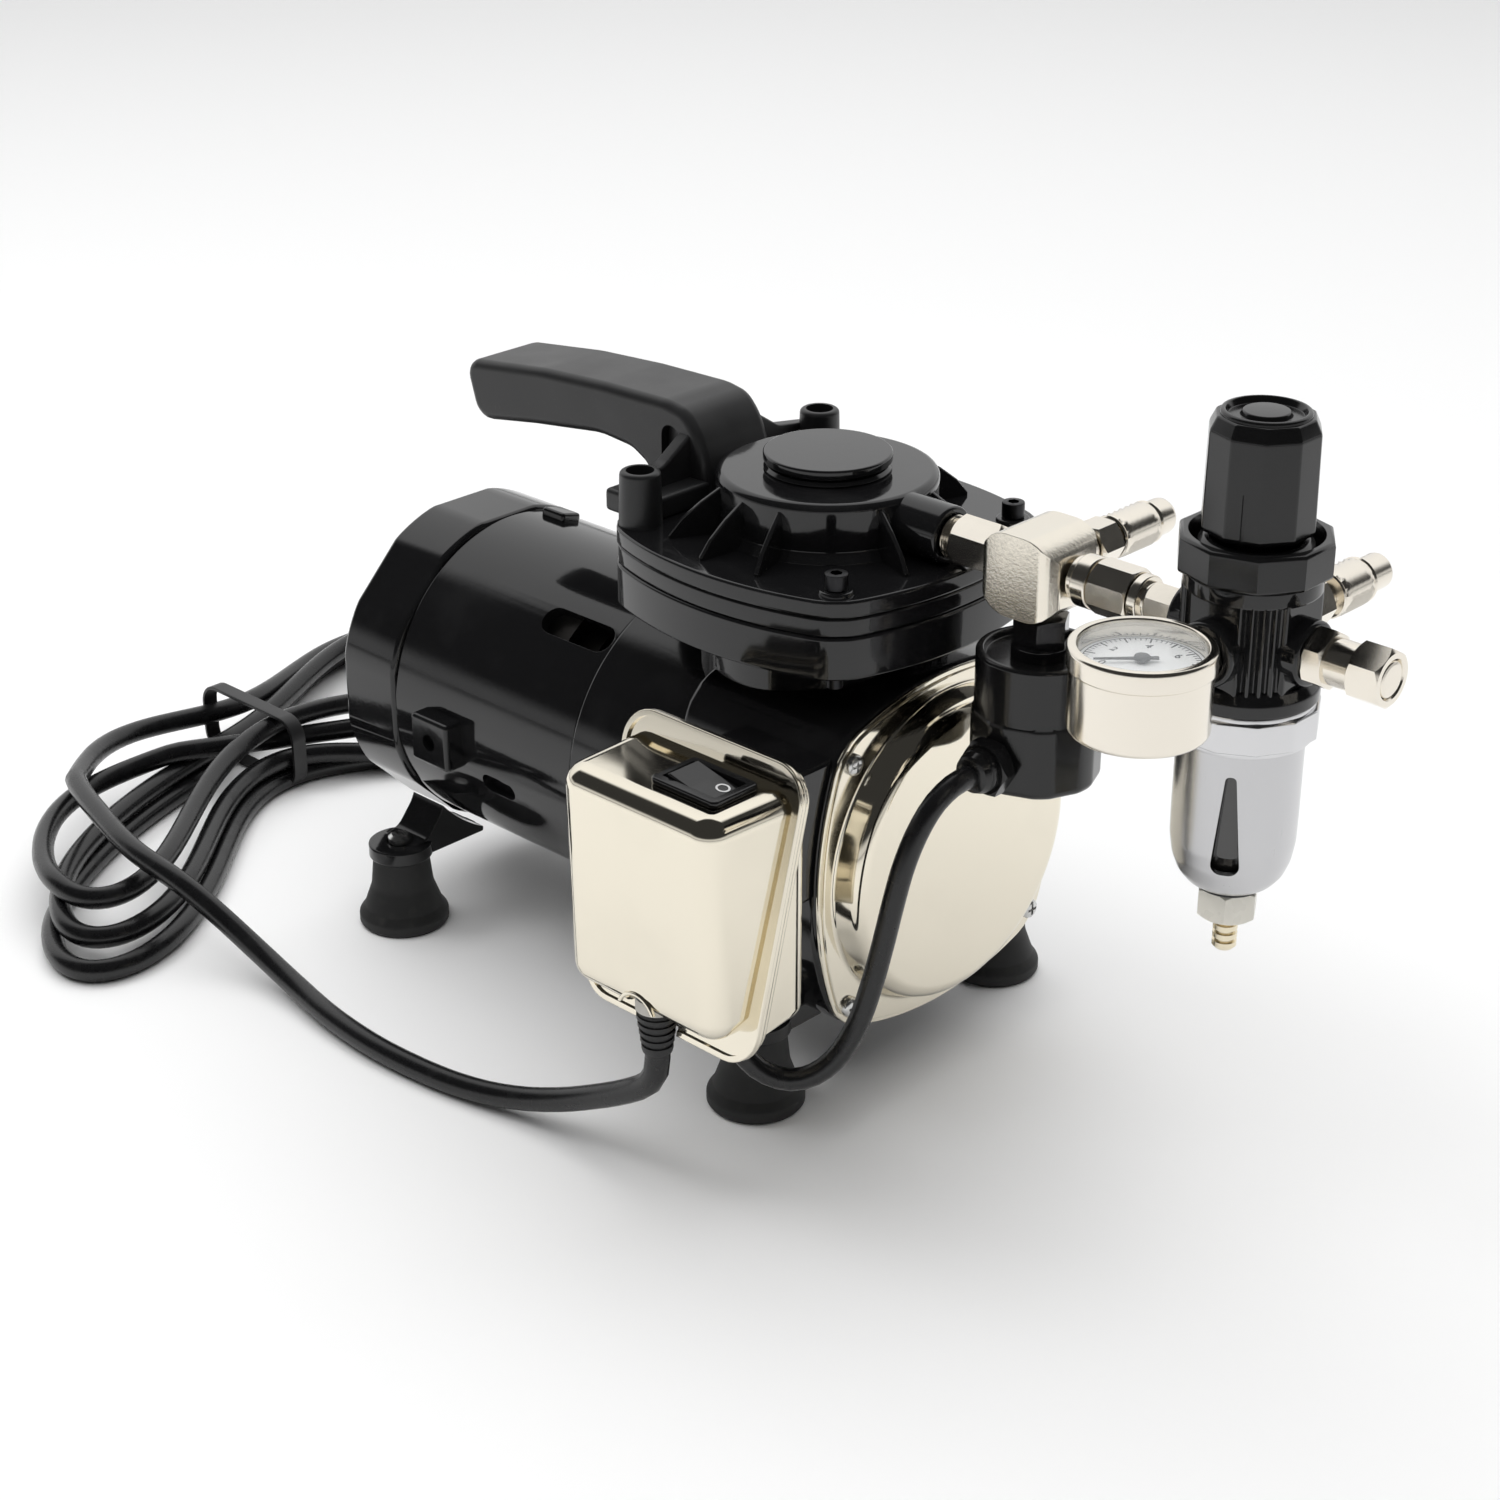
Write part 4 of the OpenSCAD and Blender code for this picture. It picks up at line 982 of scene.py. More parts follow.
class COMPRESSOR_OT_castings(_Build):
    """Crankcase, cylinder plates and foot brackets"""

    bl_idname = "compressor.castings"
    bl_label = "Castings"

    def build(self, look):
        half = look.case_half * 1000
        b, head, cover = Span("crankcase"), Span("cylinder_block"), Span("front_cover")
        x_front, axis = cover.low.x, head.mid.x
        x_square = x_front - 51
        square = prism(bulged(half), x_front - x_square, (x_square, 0, SHAFT_Z), "x", 2.2, 4, 60)
        drum = rod(TUBE_R + 1, b.low.x, x_square + 4, (0, 0, SHAFT_Z), "x", 120)
        eased(drum, 1.1, 3, 60)
        neck = rod(32, SHAFT_Z, b.high.z, (axis, 0, 0), steps=96)
        pad = block((30, 26, 36), (3, -52, SHAFT_Z + 17.5), 1.5)
        case = joined(square, drum, neck, pad)
        bore = rod(TUBE_R - TUBE_WALL, b.low.x + 12, x_front + 1, (0, 0, SHAFT_Z), "x", 96)
        seat = turned([(0, -1), (16, -1), (16, 2.45), (11.05, 2.45), (11.05, 9.6), (8, 9.6),
                       (8, 14), (0, 14)], (b.low.x, 0, SHAFT_Z), "x")
        liner = rod(BORE_R + 2, SHAFT_Z, b.high.z + 1, (axis, 0, 0))
        case = carved(case, bore, seat, liner)
        show(case, "crank_case", finish("enamel"), "crankcase", smooth=40)

        for node, name, step in (("cylinder_block", "block_plate", 0.0),
                                 ("valve_plate", "valve_plate", 0.35)):
            p = Span(node)
            plate = prism(bulged(half, step), p.size.z, (axis, 0, p.low.z), "z", 0.8, 3, 60)
            if node == "cylinder_block":
                plate = carved(plate, rod(BORE_R, -1, 20, (axis, 0, p.low.z), steps=64))
            show(plate, name, finish("enamel"), node, smooth=40)

        rear, foot = Span("rear_foot_bracket"), Span("foot_rear_near")
        low, y_foot, x_foot = rear.low.z, foot.mid.y, foot.mid.x
        arm = prism(rounded([(22, low), (-y_foot + 1, low), (-y_foot + 1, low + 3.8),
                             (43, low + 5), (37, low + 12), (34, low + 24), (22, low + 24)],
                            [0, 0.5, 1, 6, 12, 0, 0]), 13,
                    (x_foot - 6.5, 0, 0), "x", 1.0, 3, 50)
        pad = turned([(0, low), (9, low), (9, low + 4), (3.8, low + 4), (3.8, low + 3),
                      (0, low + 3)], (x_foot, -y_foot, 0), soft=0.5)
        beam = prism(rounded([(-26, low + 1), (26, low + 1), (33, low + 15), (-33, low + 15)], 2),
                     5, (x_foot - 2.5, 0, 0), "x", 0.8)
        fitted = [carved(shape, rod(BELL_CLEAR, -60, 60, (x_foot, 0, SHAFT_Z), "x", 120))
                  for shape in (mirrored(joined(arm, pad)), beam)]
        show(together(*fitted), "rear_foot_arms", finish("enamel"), "rear_foot_bracket",
             smooth=40)

        front, foot = Span("front_foot_bracket"), Span("foot_front_near")
        low, y_foot = front.low.z, -foot.mid.y
        ear = joined(block((15, 16, 7), (0, 38, low + 3.5), 1.2),
                     rod(9, low, low + 4, (0, y_foot, 0), soft=0.5))
        ears = carved(mirrored(ear), prism(bulged(half + 0.02), 60, (-30, 0, SHAFT_Z), "x"))
        show(ears, "front_foot_ears", finish("enamel"), "front_foot_bracket", smooth=40)


FOOT_NODES = ("foot_front_near", "foot_front_far", "foot_rear_near", "foot_rear_far")


class COMPRESSOR_OT_feet(_Build):
    """Rubber feet and the screws that hold them"""

    bl_idname = "compressor.feet"
    bl_label = "Feet"

    def build(self, look):
        for node in FOOT_NODES:
            b = Span(node)
            r, h = b.size.x / 2, b.size.z
            shape = rounded([(0, 0), (r - 0.7, 0), (r, 1), (r, 3.4), (r - 1.6, 5.6),
                             (r - 3.9, 12), (8, h - 1.4), (8, h), (0, h)],
                            [0, 0.8, 0.5, 1.6, 2, 8, 0.6, 0.8, 0], 4, closed=False)
            show(turned(shape, (b.mid.x, b.mid.y, 0), steps=64), node.replace("foot", "rubber_foot"),
                 finish("rubber"), node, smooth=50)
        screws, b = [], Span("foot_screws")
        for node in FOOT_NODES:
            at = Span(node)
            screw = turned([(0, b.low.z), (2, b.low.z), (2, b.high.z - 2.2), (3.4, b.high.z - 2.2),
                            (3.4, b.high.z - 0.8), (2.4, b.high.z), (0, b.high.z)],
                           (at.mid.x, at.mid.y, 0), steps=32)
            slot = block((5, 0.9, 1.6), (at.mid.x, at.mid.y, b.high.z))
            screws.append(carved(screw, slot))
        show(together(*screws), "foot_screw_set", finish("zinc"), "foot_screws")


class COMPRESSOR_OT_head(_Build):
    """Cylinder head with its ribs, intake cap and screws"""

    bl_idname = "compressor.head"
    bl_label = "Cylinder head"

    def build(self, look):
        b, plate, cap = Span("cylinder_head"), Span("valve_plate"), Span("intake_cap")
        axis, r, low = plate.mid.x, look.drum * 1000, b.low.z
        top, flange = cap.low.z, low + 4.5
        half = look.case_half * 1000
        base = prism(bulged(half), flange - low, (axis, 0, low), "z", 0.8, 3, 60)
        drum = turned(rounded([(0, low + 1), (r + 2, low + 1), (r + 2, flange + 0.2),
                               (r, flange + 2.2), (r, top), (0, top)],
                              [0, 0, 0.4, 1.6, 2.0, 0], 5, closed=False), (axis, 0, 0), steps=120)
        ribs = []
        for angle in (-120, -96, -72, -20, 20, 72, 96, 120):
            web = prism(rounded([(r - 1.5, flange - 0.6), (r + 13.2, flange - 0.6),
                                 (r + 13.2, flange + 0.8), (r + 10, flange + 4.8),
                                 (r + 5, flange + 8.8), (r - 0.4, top - 2.2),
                                 (r - 1.5, top - 2.2)],
                                [0, 0, 0.5, 4, 4, 0.6, 0], 4), 1.3,
                        (0, -0.65, 0), "y", 0.35, 2, 50)
            spun(web, angle, (0, 0, 0))
            web.transform(Matrix.Translation((axis, 0, 0)))
            ribs.append(web)
        port = Span("outlet_nipple").mid
        end = Span("outlet_nipple").low.x + 10
        boss = turned([(0, axis + r - 5), (7.3, axis + r - 5), (7.3, end), (5.6, end),
                       (5.6, end - 2.2), (4.95, end - 2.2), (4.95, axis + r - 4),
                       (0, axis + r - 4)], (0, 0, port.z), "x", 64,
                      soft=[0, 0, 0.9, 0.3, 0, 0, 0, 0])
        web = block((12, 3.4, 8), (axis + r + 5.5, 0, flange + 3.2), 0.5)
        corners = together(*[turned(rounded([(0, flange - 1), (4.6, flange - 1),
                                             (4.2, flange + 0.9), (0, flange + 0.9)],
                                            [0, 0, 0.5, 0], 3, closed=False),
                                    (axis + BOLT, s * BOLT, 0), steps=40) for s in (-1, 1)])
        head = joined(base, drum, *ribs, boss, web, corners)
        head = carved(head, rod(10.05, top - 9, top + 1, (axis, 0, 0), steps=64))
        show(head, "round_head", finish("enamel"), "cylinder_head", smooth=38)

        r, h = cap.size.x / 2, cap.size.z
        z = cap.low.z
        shape = rounded([(0, z), (r - 0.5, z), (r - 0.1, z + 0.5), (r - 0.8, z + 1.4),
                         (r - 1.7, z + 1.7), (r - 1.7, z + 2.1), (r, z + 2.4), (r, z + h),
                         (0, z + h)], [0, 0.2, 0.2, 0.2, 0.1, 0.1, 0.3, 0.6, 0], 3, closed=False)
        show(turned(shape, (axis, 0, 0), steps=96), "intake_disc", finish("enamel"), "intake_cap",
             smooth=38)

        s = Span("head_screws")
        show(together(*[socket_screw(s.high.x - 2.9, side * (s.high.y - 2.9), s.low.z, flange + 0.9,
                                     s.high.z) for side in (-1, 1)]),
             "head_cap_screws", finish("oxide"), "head_screws")


class COMPRESSOR_OT_handle(_Build):
    """Carry handle and its screws"""

    bl_idname = "compressor.handle"
    bl_label = "Handle"

    def build(self, look):
        b, plate = Span("handle"), Span("valve_plate")
        axis, low, tip = plate.mid.x, b.low.z, b.low.x
        side = [(tip - 1.2, 157.5), (tip + 30, 161.5), (tip + 53, 163), (tip + 77, b.high.z),
                (tip + 84, 162.4), (tip + 88.6, 157.5), (tip + 91.6, 150), (tip + 93, low),
                (tip + 72, low), (tip + 69.5, 144.6), (tip + 64, 147.6), (tip + 52, 148.6),
                (tip + 26, 145), (tip + 3.8, 141.2)]
        outline = rounded(side, [4.5, 60, 60, 18, 8, 16, 12, 0, 0, 4, 9, 30, 40, 6], 5)
        hole, width = axis - BOLT, 25
        drum = look.drum * 1000 + 0.4

        def clear_of_head(shape):
            return carved(shape, rod(drum, low - 1, 176, (axis, 0, 0), steps=120))

        grip = clear_of_head(pillow(outline, width, look.grip_edge * 1000, (0, -width / 2, 0), "y"))
        hollow = rounded([(tip + 76, 146.2), (tip + 85.5, 146.2), (tip + 85, 153),
                          (tip + 80.5, 158), (tip + 76, 157)], [2, 2, 3, 4, 3], 4)
        for face in (-width / 2 - 3.5, width / 2 - 2.5):
            grip = carved(grip, prism(hollow, 6, (0, face, 0), "y"))
        rest = [block((16, 66, 6), (tip + 84, 0, low + 3), 1.2)]
        for s in (-1, 1):
            rest.append(turned([(0, low), (5.6, low), (5.2, low + 14), (0, low + 14)],
                               (hole, s * BOLT, 0), steps=48, soft=[0, 0, 1.1, 0]))
            rest.append(prism(rounded([(s * 9, low + 4), (s * BOLT, low + 4),
                                       (s * BOLT, low + 9.5), (s * 21, low + 11.5),
                                       (s * 11.8, 157), (s * 9, 157)], [0, 0, 1, 6, 3, 0], 4),
                              4.2, (tip + 82, 0, 0), "x", 0.8, 3, 45))
        for k, shape in enumerate(rest):
            drills = [turned([(0, low - 1), (2.1, low - 1), (2.1, low + 7), (3.6, low + 7),
                              (3.6, low + 16), (0, low + 16)], (hole, s * BOLT, 0), steps=40)
                      for s in (-1, 1)]
            rest[k] = carved(clear_of_head(shape), *drills)
        show(together(grip, *rest), "carry_handle", finish("nylon"), "handle", smooth=40)
        s = Span("handle_screws")
        show(together(*[socket_screw(hole, side * BOLT, s.low.z, s.high.z - 4, s.high.z)
                        for side in (-1, 1)]),
             "handle_cap_screws", finish("oxide"), "handle_screws")


class COMPRESSOR_OT_front_cover(_Build):
    """Pressed nickel cover on the crankcase, and its screws"""

    bl_idname = "compressor.front_cover"
    bl_label = "Front cover"

    def build(self, look):
        b = Span("front_cover")
        x, half, rise = b.low.x, look.case_half * 1000, look.cover_rise * 1000
        rim = prism(bulged(half), 1.0, (x, 0, SHAFT_Z), "x", 0.35, 3, 60)
        sheet = prism(bulged(half, shrink=1.3), 1.6, (x, 0, SHAFT_Z), "x", 0.45, 3, 60)
        dome = turned(rounded([(0, 0.4), (43.8, 0.4), (43.8, 1.58), (42.2, 1.62), (39.6, rise),
                               (0, rise)], [0, 0, 0.02, 1.6, 4.2, 0], 8, closed=False),
                      (x, 0, SHAFT_Z), "x", 144)
        cover = joined(rim, sheet, dome)
        show(cover, "pressed_cover", finish("nickel"), "front_cover", smooth=30)
        s, screws = Span("front_cover_screws"), []
        for y in (-1, 1):
            for z in (-1, 1):
                at = (0, y * (s.high.y - 2.7), SHAFT_Z + z * (s.size.z / 2 - 2.7))
                head = x + 1.6
                pan = turned([(0, s.low.x), (1.5, s.low.x), (1.5, head), (2.7, head),
                              (2.7, head + 0.7), (2.4, head + 1.3), (1.6, head + 1.7),
                              (0, head + 1.8)], at, "x", 40)
                cross = joined(block((2.4, 0.75, 3.2), (head + 2.1, at[1], at[2])),
                               block((2.4, 3.2, 0.75), (head + 2.1, at[1], at[2])))
                screws.append(carved(pan, cross))
        show(together(*screws), "cover_screw_set", finish("zinc"), "front_cover_screws", smooth=40)


# ---------------------------------------------------------------- switch box

LEAN = radians(14.5)
OUTWARD = Vector((0, -cos(LEAN), sin(LEAN)))
ROCKER_OFF = 9                   # the rocker stands this far to the right of the box's middle
FLANGE_BACK = 27.2               # from the box's front to the top of its flange
BEZEL = 1.8                      # the rocker's bezel stands this high on the box
NOTCH_DOWN = 59                  # from the box's top to the middle of its cord notch


def parting():
    """A point on the leaning face where the box's flange meets its cover."""
    bezel = Span("rocker_frame")
    return Vector((bezel.mid.x - ROCKER_OFF, Span("switch_box_cover").low.y + FLANGE_BACK,
                   bezel.high.z - BEZEL))


def leaning(outline, low, high, soft=0.0):
    """A plate that lies along the box's leaning parting face."""
    plate = prism(outline, high - low, (0, 0, low), "z", soft, 3, 60)
    frame_of = Matrix(((1, 0, 0, 0), (0, sin(LEAN), OUTWARD.y, 0), (0, cos(LEAN), OUTWARD.z, 0),
                       (0, 0, 0, 1)))
    p = parting()
    plate.transform(Matrix.Translation((0, p.y, p.z)) @ frame_of)
    return plate


def cut_by_parting(bm, inset=0.0, front=True):
    out = bmesh.ops.bisect_plane(bm, geom=bm.verts[:] + bm.edges[:] + bm.faces[:],
                                 plane_co=parting() + OUTWARD * inset, plane_no=OUTWARD,
                                 clear_inner=front, clear_outer=not front)
    rim = [g for g in out["geom_cut"] if isinstance(g, bmesh.types.BMEdge)]
    bmesh.ops.edgenet_fill(bm, edges=rim)
    bmesh.ops.recalc_face_normals(bm, faces=bm.faces)
    return bm


def box_front_shape(look, inset):
    """The drawn front of the box, or its inside when it is inset."""
    b, p = Span("switch_box_cover"), parting()
    low, front, wide = p.z - 58.5 + inset, b.low.y + inset, 50.4 - 2 * inset
    corner = look.box_corner * 1000 - inset
    outline = rounded([(-wide / 2, front), (wide / 2, front), (wide / 2, front + 60),
                       (-wide / 2, front + 60)], [corner, corner, 0, 0], 8)
    bm = pillow(outline, p.z - inset - low, 5.6 - inset, (p.x, 0, low), "z")
    for v in bm.verts:
        v.co.x = p.x + (v.co.x - p.x) * (1 + 0.002 * (v.co.y - front))
        v.co.y += 1.6 * (p.z - v.co.z) / 60
    return cut_by_parting(bm, 0.0 if not inset else -3)


class COMPRESSOR_OT_switch_box(_Build):
    """Switch box with its cover, base, rocker and strain reliefs"""

    bl_idname = "compressor.switch_box"
    bl_label = "Switch box"

    def build(self, look):
        p, gland = parting(), Span("cord_gland")
        wide, low, high = 29, -68.2, 5.6
        shell = box_front_shape(look, 0)
        plate = rounded([(p.x - wide, low), (p.x + wide, low), (p.x + wide, high),
                         (p.x - wide, high)], 9, 8)
        inner = rounded([(p.x - wide + 1.5, low + 1.5), (p.x + wide - 1.5, low + 1.5),
                         (p.x + wide - 1.5, high - 1.5), (p.x - wide + 1.5, high - 1.5)], 7.6, 8)
        cover = joined(shell, leaning(plate, -2, 0.02, 0.8))
        face = parting()
        cover.normal_update()
        eased(cover, 2.4, 5, 20, keep=lambda e: not e.is_convex and all(
            abs((v.co - face).dot(OUTWARD) - 0.02) < 0.05 for v in e.verts))
        lip = carved(leaning(plate, -0.6, 0.75, 0.35), leaning(inner, -2, 2))
        cover = joined(cover, lip)
        cover = carved(cover, box_front_shape(look, 1.6))
        rock = Span("rocker_frame").mid
        well = prism(rounded([(-9.55, -6.55), (9.55, -6.55), (9.55, 6.55), (-9.55, 6.55)], 1), 16,
                     (rock.x, rock.y, p.z - 14))
        notch = rod(5.6, 0, 14, (gland.mid.x, gland.mid.y - 12, p.z - NOTCH_DOWN), "y", 32)
        throat = rod(5.3, 40, 52, (gland.mid.x, gland.mid.y, 0), steps=32)
        cover = carved(cover, well, notch, throat)
        show(cover, "box_cover", finish("nickel"), "switch_box_cover", smooth=34)

        # folded edge of the notch and the grommet in it
        edge = turned([(5.5, -0.7), (6.5, -0.7), (6.5, 0.5), (5.5, 0.5)],
                      (gland.mid.x, Span("switch_box_cover").low.y + 1.6, p.z - NOTCH_DOWN),
                      "y", 40, soft=0.4)
        bmesh.ops.bisect_plane(edge, geom=edge.verts[:] + edge.edges[:] + edge.faces[:],
                               plane_co=(0, 0, p.z - 56.6), plane_no=(0, 0, 1), clear_inner=True)
        bmesh.ops.holes_fill(edge, edges=edge.edges)
        show(edge, "notch_fold", finish("nickel"), body="compressor", slot="polished_nickel")
        grommet = turned([(3.2, 0), (5.2, 0), (5.2, 3.4), (4.2, 4.4), (3.2, 4.4)],
                         (gland.mid.x, gland.mid.y, p.z - 59.4), steps=40, soft=0.4)
        show(grommet, "cord_grommet", finish("grommet"), body="compressor", slot="white_plastic")

        base = prism(rounded([(-27, -60), (27, -60), (27, 6.2), (-27, 6.2)], [0, 0, 7, 7], 8), 62,
                     (p.x, Span("switch_box_base").high.y - 6.2, p.z - 60), "z", 0)
        eased(base, 3, 4, 60, keep=lambda e: all(v.co.y > p.y - 10 for v in e.verts))
        base = cut_by_parting(base, -2.05, front=False)
        rim_line = rounded([(p.x - 28, low + 1), (p.x + 28, low + 1), (p.x + 28, high - 1),
                            (p.x - 28, high - 1)], 8.4, 8)
        base = joined(base, leaning(rim_line, -4.0, -2.05, 0.6))
        core = prism(rounded([(-25.4, -60), (25.4, -60), (25.4, 4.6), (-25.4, 4.6)],
                             [0, 0, 5.4, 5.4], 6), 58.8,
                     (p.x, Span("switch_box_base").high.y - 6.2, p.z - 58.4), "z")
        lead = Span("lead_gland")
        base = carved(base, core, rod(4.9, 40, 62, (lead.mid.x, lead.mid.y, 0), steps=32))
        show(base, "box_base", finish("nickel"), "switch_box_base", smooth=34)

        for node, name, r, turn in (("cord_gland", "cord_strain_relief", 3.15, 0.9),
                                    ("lead_gland", "lead_strain_relief", 2.8, 0.7)):
            g = Span(node)
            shape = [(0, g.low.z), (r + 0.5, g.low.z)]
            for k in range(5):
                z = g.low.z + 0.9 + 2.1 * k
                out = r + 0.75 + 0.27 * k
                shape += [(out, z), (out, z + 1.0), (out - turn * 0.5, z + 1.1),
                          (out - turn * 0.5, z + 1.7)]
            shape += [(g.size.x / 2, g.low.z + 11.6), (g.size.x / 2, g.high.z), (0, g.high.z)]
            show(turned(shape, (g.mid.x, g.mid.y, 0), steps=40), name, finish("nylon"), node,
                 smooth=45)

        top = p.z
        bezel = prism(rounded([(-10.5, -7.5), (10.5, -7.5), (10.5, 7.5), (-10.5, 7.5)], 1.6, 5),
                      BEZEL, (rock.x, rock.y, top), "z", 0.55, 3, 60)
        body = block((19, 13, 14.6), (rock.x, rock.y, top - 6.9), 0.4)
        blades = [block((0.8, 4.8, 7), (rock.x + x, rock.y, top - 16.5)) for x in (-6, 0, 6)]
        frame_bm = carved(joined(bezel, body, *blades),
                          block((17, 10.4, 12), (rock.x, rock.y, top - 3)))
        show(frame_bm, "rocker_bezel", finish("gloss_plastic"), "rocker_frame")
        shape = rounded([(-7, 2.9), (0, 1.3), (7, 0.2), (7, -1.2), (2.5, -4.6), (-2.5, -4.6),
                         (-7, -0.2)], [0.5, 6, 0.5, 0.6, 1, 1, 0.6], 4)
        key = prism(shape, 9.8, (rock.x, rock.y - 4.9, top), "y", 0.4, 3, 50)
        axle = rod(1, -6, 6, (rock.x, rock.y, top - 1.5), "y", 24)
        show(joined(key, axle), "rocker_key", finish("gloss_plastic"), "rocker", smooth=40)
        ring = turned([(1.25, -0.3), (1.75, -0.3), (1.75, 0.08), (1.25, 0.08)],
                      (rock.x + 4.6, rock.y + 1.4, top + 0.6), steps=40)
        spun(ring, 9, (rock.x + 4.6, rock.y + 1.4, top + 0.6), "Y")
        show(ring, "rocker_mark", finish("white"), body="rocker", slot="white_plastic")


# ---------------------------------------------------------------- air line


def nut(flats, length, at, facing, sides=6, chamfer=0.7, turn=0.0, bore=0.0):
    """Hexagon with turned chamfers at both ends."""
    outer = flats / 2 / cos(pi / sides) + 0.02
    lathe = turned([(0, 0), (flats / 2 - 0.1, 0), (outer, chamfer), (outer, length - chamfer),
                    (flats / 2 - 0.1, length), (0, length)], steps=96)
    # longer than the lathe's shape, because flush ends crossed differently from run to run
    hexagon = prism(polygon(sides, flats, turn), length + 2, (0, 0, -1))
    made = placed(kept_inside(hexagon, lathe), at, facing)
    if bore:
        made = carved(made, rod(bore, -1, length + 1, at, facing, 40))
    return made


def knurled(r, length, at, facing, around=36, rows=12, depth=0.42, ends=0.9):
    """Turned sleeve with a diamond knurl between two plain ends."""
    rise = (length - 2 * ends) / rows
    profile = [(0, 0), (r - 0.5, 0), (r - 0.15, 0.35)]
    profile += [(r - depth, ends + rise * k) for k in range(rows + 1)]
    profile += [(r - 0.15, length - 0.35), (r - 0.5, length), (0, length)]
    bm = turned(profile, steps=around)
    for v in bm.verts:
        u, w, h = v.co
        reach = hypot(u, w)
        row = round((h - ends) / rise)
        if abs(reach - (r - depth)) < 0.01 and 0 < row < rows:
            turn = round(np.arctan2(w, u) / (2 * pi) * around)
            if (row + turn) % 2 == 0:
                v.co.x, v.co.y = u * r / reach, w * r / reach
    return placed(bm, at, facing)


class COMPRESSOR_OT_air_line(_Build):
    """Outlet nipple, manifold block, bleed valve, coupler and switch adapter"""

    bl_idname = "compressor.air_line"
    bl_label = "Air line"

    def build(self, look):
        n, m, c = Span("outlet_nipple"), Span("manifold_block"), Span("line_coupler")
        z = n.mid.z
        pipe = turned([(0, n.low.x), (4.8, n.low.x), (4.8, n.low.x + 14), (4.9, n.low.x + 14.6),
                       (4.9, m.low.x - 1), (4.3, m.low.x), (0, m.low.x)], (0, 0, z), "x", 64)
        collar = nut(11.8, 12.6, (n.low.x + 13.2, 0, z), "x", turn=pi / 6, chamfer=1.0)
        thread = [(0, 0)]
        for k in range(4):
            thread += [(4.9, 0.2 + 0.75 * k), (5.4, 0.5 + 0.75 * k), (4.9, 0.8 + 0.75 * k)]
        thread += [(4.9, 3.2), (0, 3.2)]
        grip = turned(thread, (n.low.x + 10.1, 0, z), "x", 64)
        show(joined(pipe, collar, grip), "outlet_tube", finish("fitting"), "outlet_nipple",
             smooth=30)

        w, h = m.size.x, m.size.z - 1.6
        across = rounded([(-w / 2, -h / 2), (w / 2, -h / 2), (w / 2, h / 2), (-w / 2, h / 2)],
                         [8, 8, 9.5, 8], 7)
        cube = prism(across, m.size.y, (m.mid.x, m.low.y, m.mid.z + 0.4), "y", 0.5, 2, 60)
        plan = rounded([(-w / 2, -10), (w / 2 - 3, -10), (w / 2 - 1, -6), (w / 2, 6),
                        (w / 2 - 3, 10), (-w / 2, 10)], [2.5, 3, 3, 3, 4, 4], 5)
        cube = kept_inside(cube, prism(plan, h + 2, (m.mid.x, 0, m.low.z - 1), "z"))
        show(cube, "cast_manifold", finish("cast_nickel"), "manifold_block", smooth=34)

        v, ring = Span("bleed_valve_body"), Span("bleed_valve_ring")
        x = v.mid.x
        stem = turned([(0, v.low.y), (4.6, v.low.y), (4.6, v.low.y + 5.6), (3, v.low.y + 5.6),
                       (3, ring.high.y + 0.6), (4.6, ring.high.y + 0.6), (4.6, v.high.y),
                       (0, v.high.y)], (x, 0, z), "y", 56, soft=[0, 0, 0.4, 0.2, 0, 0.4, 1.6, 0])
        hexagon = nut(10.5, 8, (x, v.low.y + 6, z), "y")
        show(joined(stem, hexagon), "bleed_valve_stem", finish("fitting"), "bleed_valve_body",
             smooth=30)
        sleeve = knurled(ring.size.x / 2, ring.size.y, (x, ring.low.y, z), "y")
        sleeve = carved(sleeve, rod(3.05, -1, 20, (x, ring.low.y, z), "y", 40))
        show(sleeve, "bleed_knurl", finish("fitting"), "bleed_valve_ring", smooth=28)

        end = c.high.x
        neck = turned(rounded([(0, c.low.x), (5.6, c.low.x), (5.6, c.low.x + 6.5),
                               (4.6, c.low.x + 6.5), (4.6, end - 8.4), (0, end - 8.4)],
                              [0, 0.4, 0.4, 0, 0.2, 0], 3, closed=False), (0, 0, z), "x", 64)
        neck = joined(neck, rod(6.4, 1.6, 6, (c.low.x, 0, z), "x", 64, soft=0.5))
        fluted = nut(12.5, 11, (c.low.x + 6.4, 0, z), "x", sides=8, chamfer=0.6, turn=pi / 8)
        step = rod(5.9, 0, 2.6, (c.low.x + 17.6, 0, z), "x", 64, soft=0.4)
        last = nut(9, end - c.low.x - 21.4, (c.low.x + 21.4, 0, z), "x", turn=pi / 6)
        show(joined(neck, fluted, step, last), "fluted_coupler", finish("fitting"), "line_coupler",
             smooth=28)

        a, s = Span("switch_adapter"), Span("pressure_switch")
        hexagon = nut(12.4, a.high.z - s.high.z - 0.9, (a.mid.x, 0, s.high.z + 0.9), "z",
                      chamfer=0.5)
        ring = rod(7, a.low.z, a.low.z + 3.5, (a.mid.x, 0, 0), steps=64)
        eased(ring, 0.4, 2, 50)
        show(joined(hexagon, ring), "adapter_hex", finish("enamel"), "switch_adapter", smooth=30)


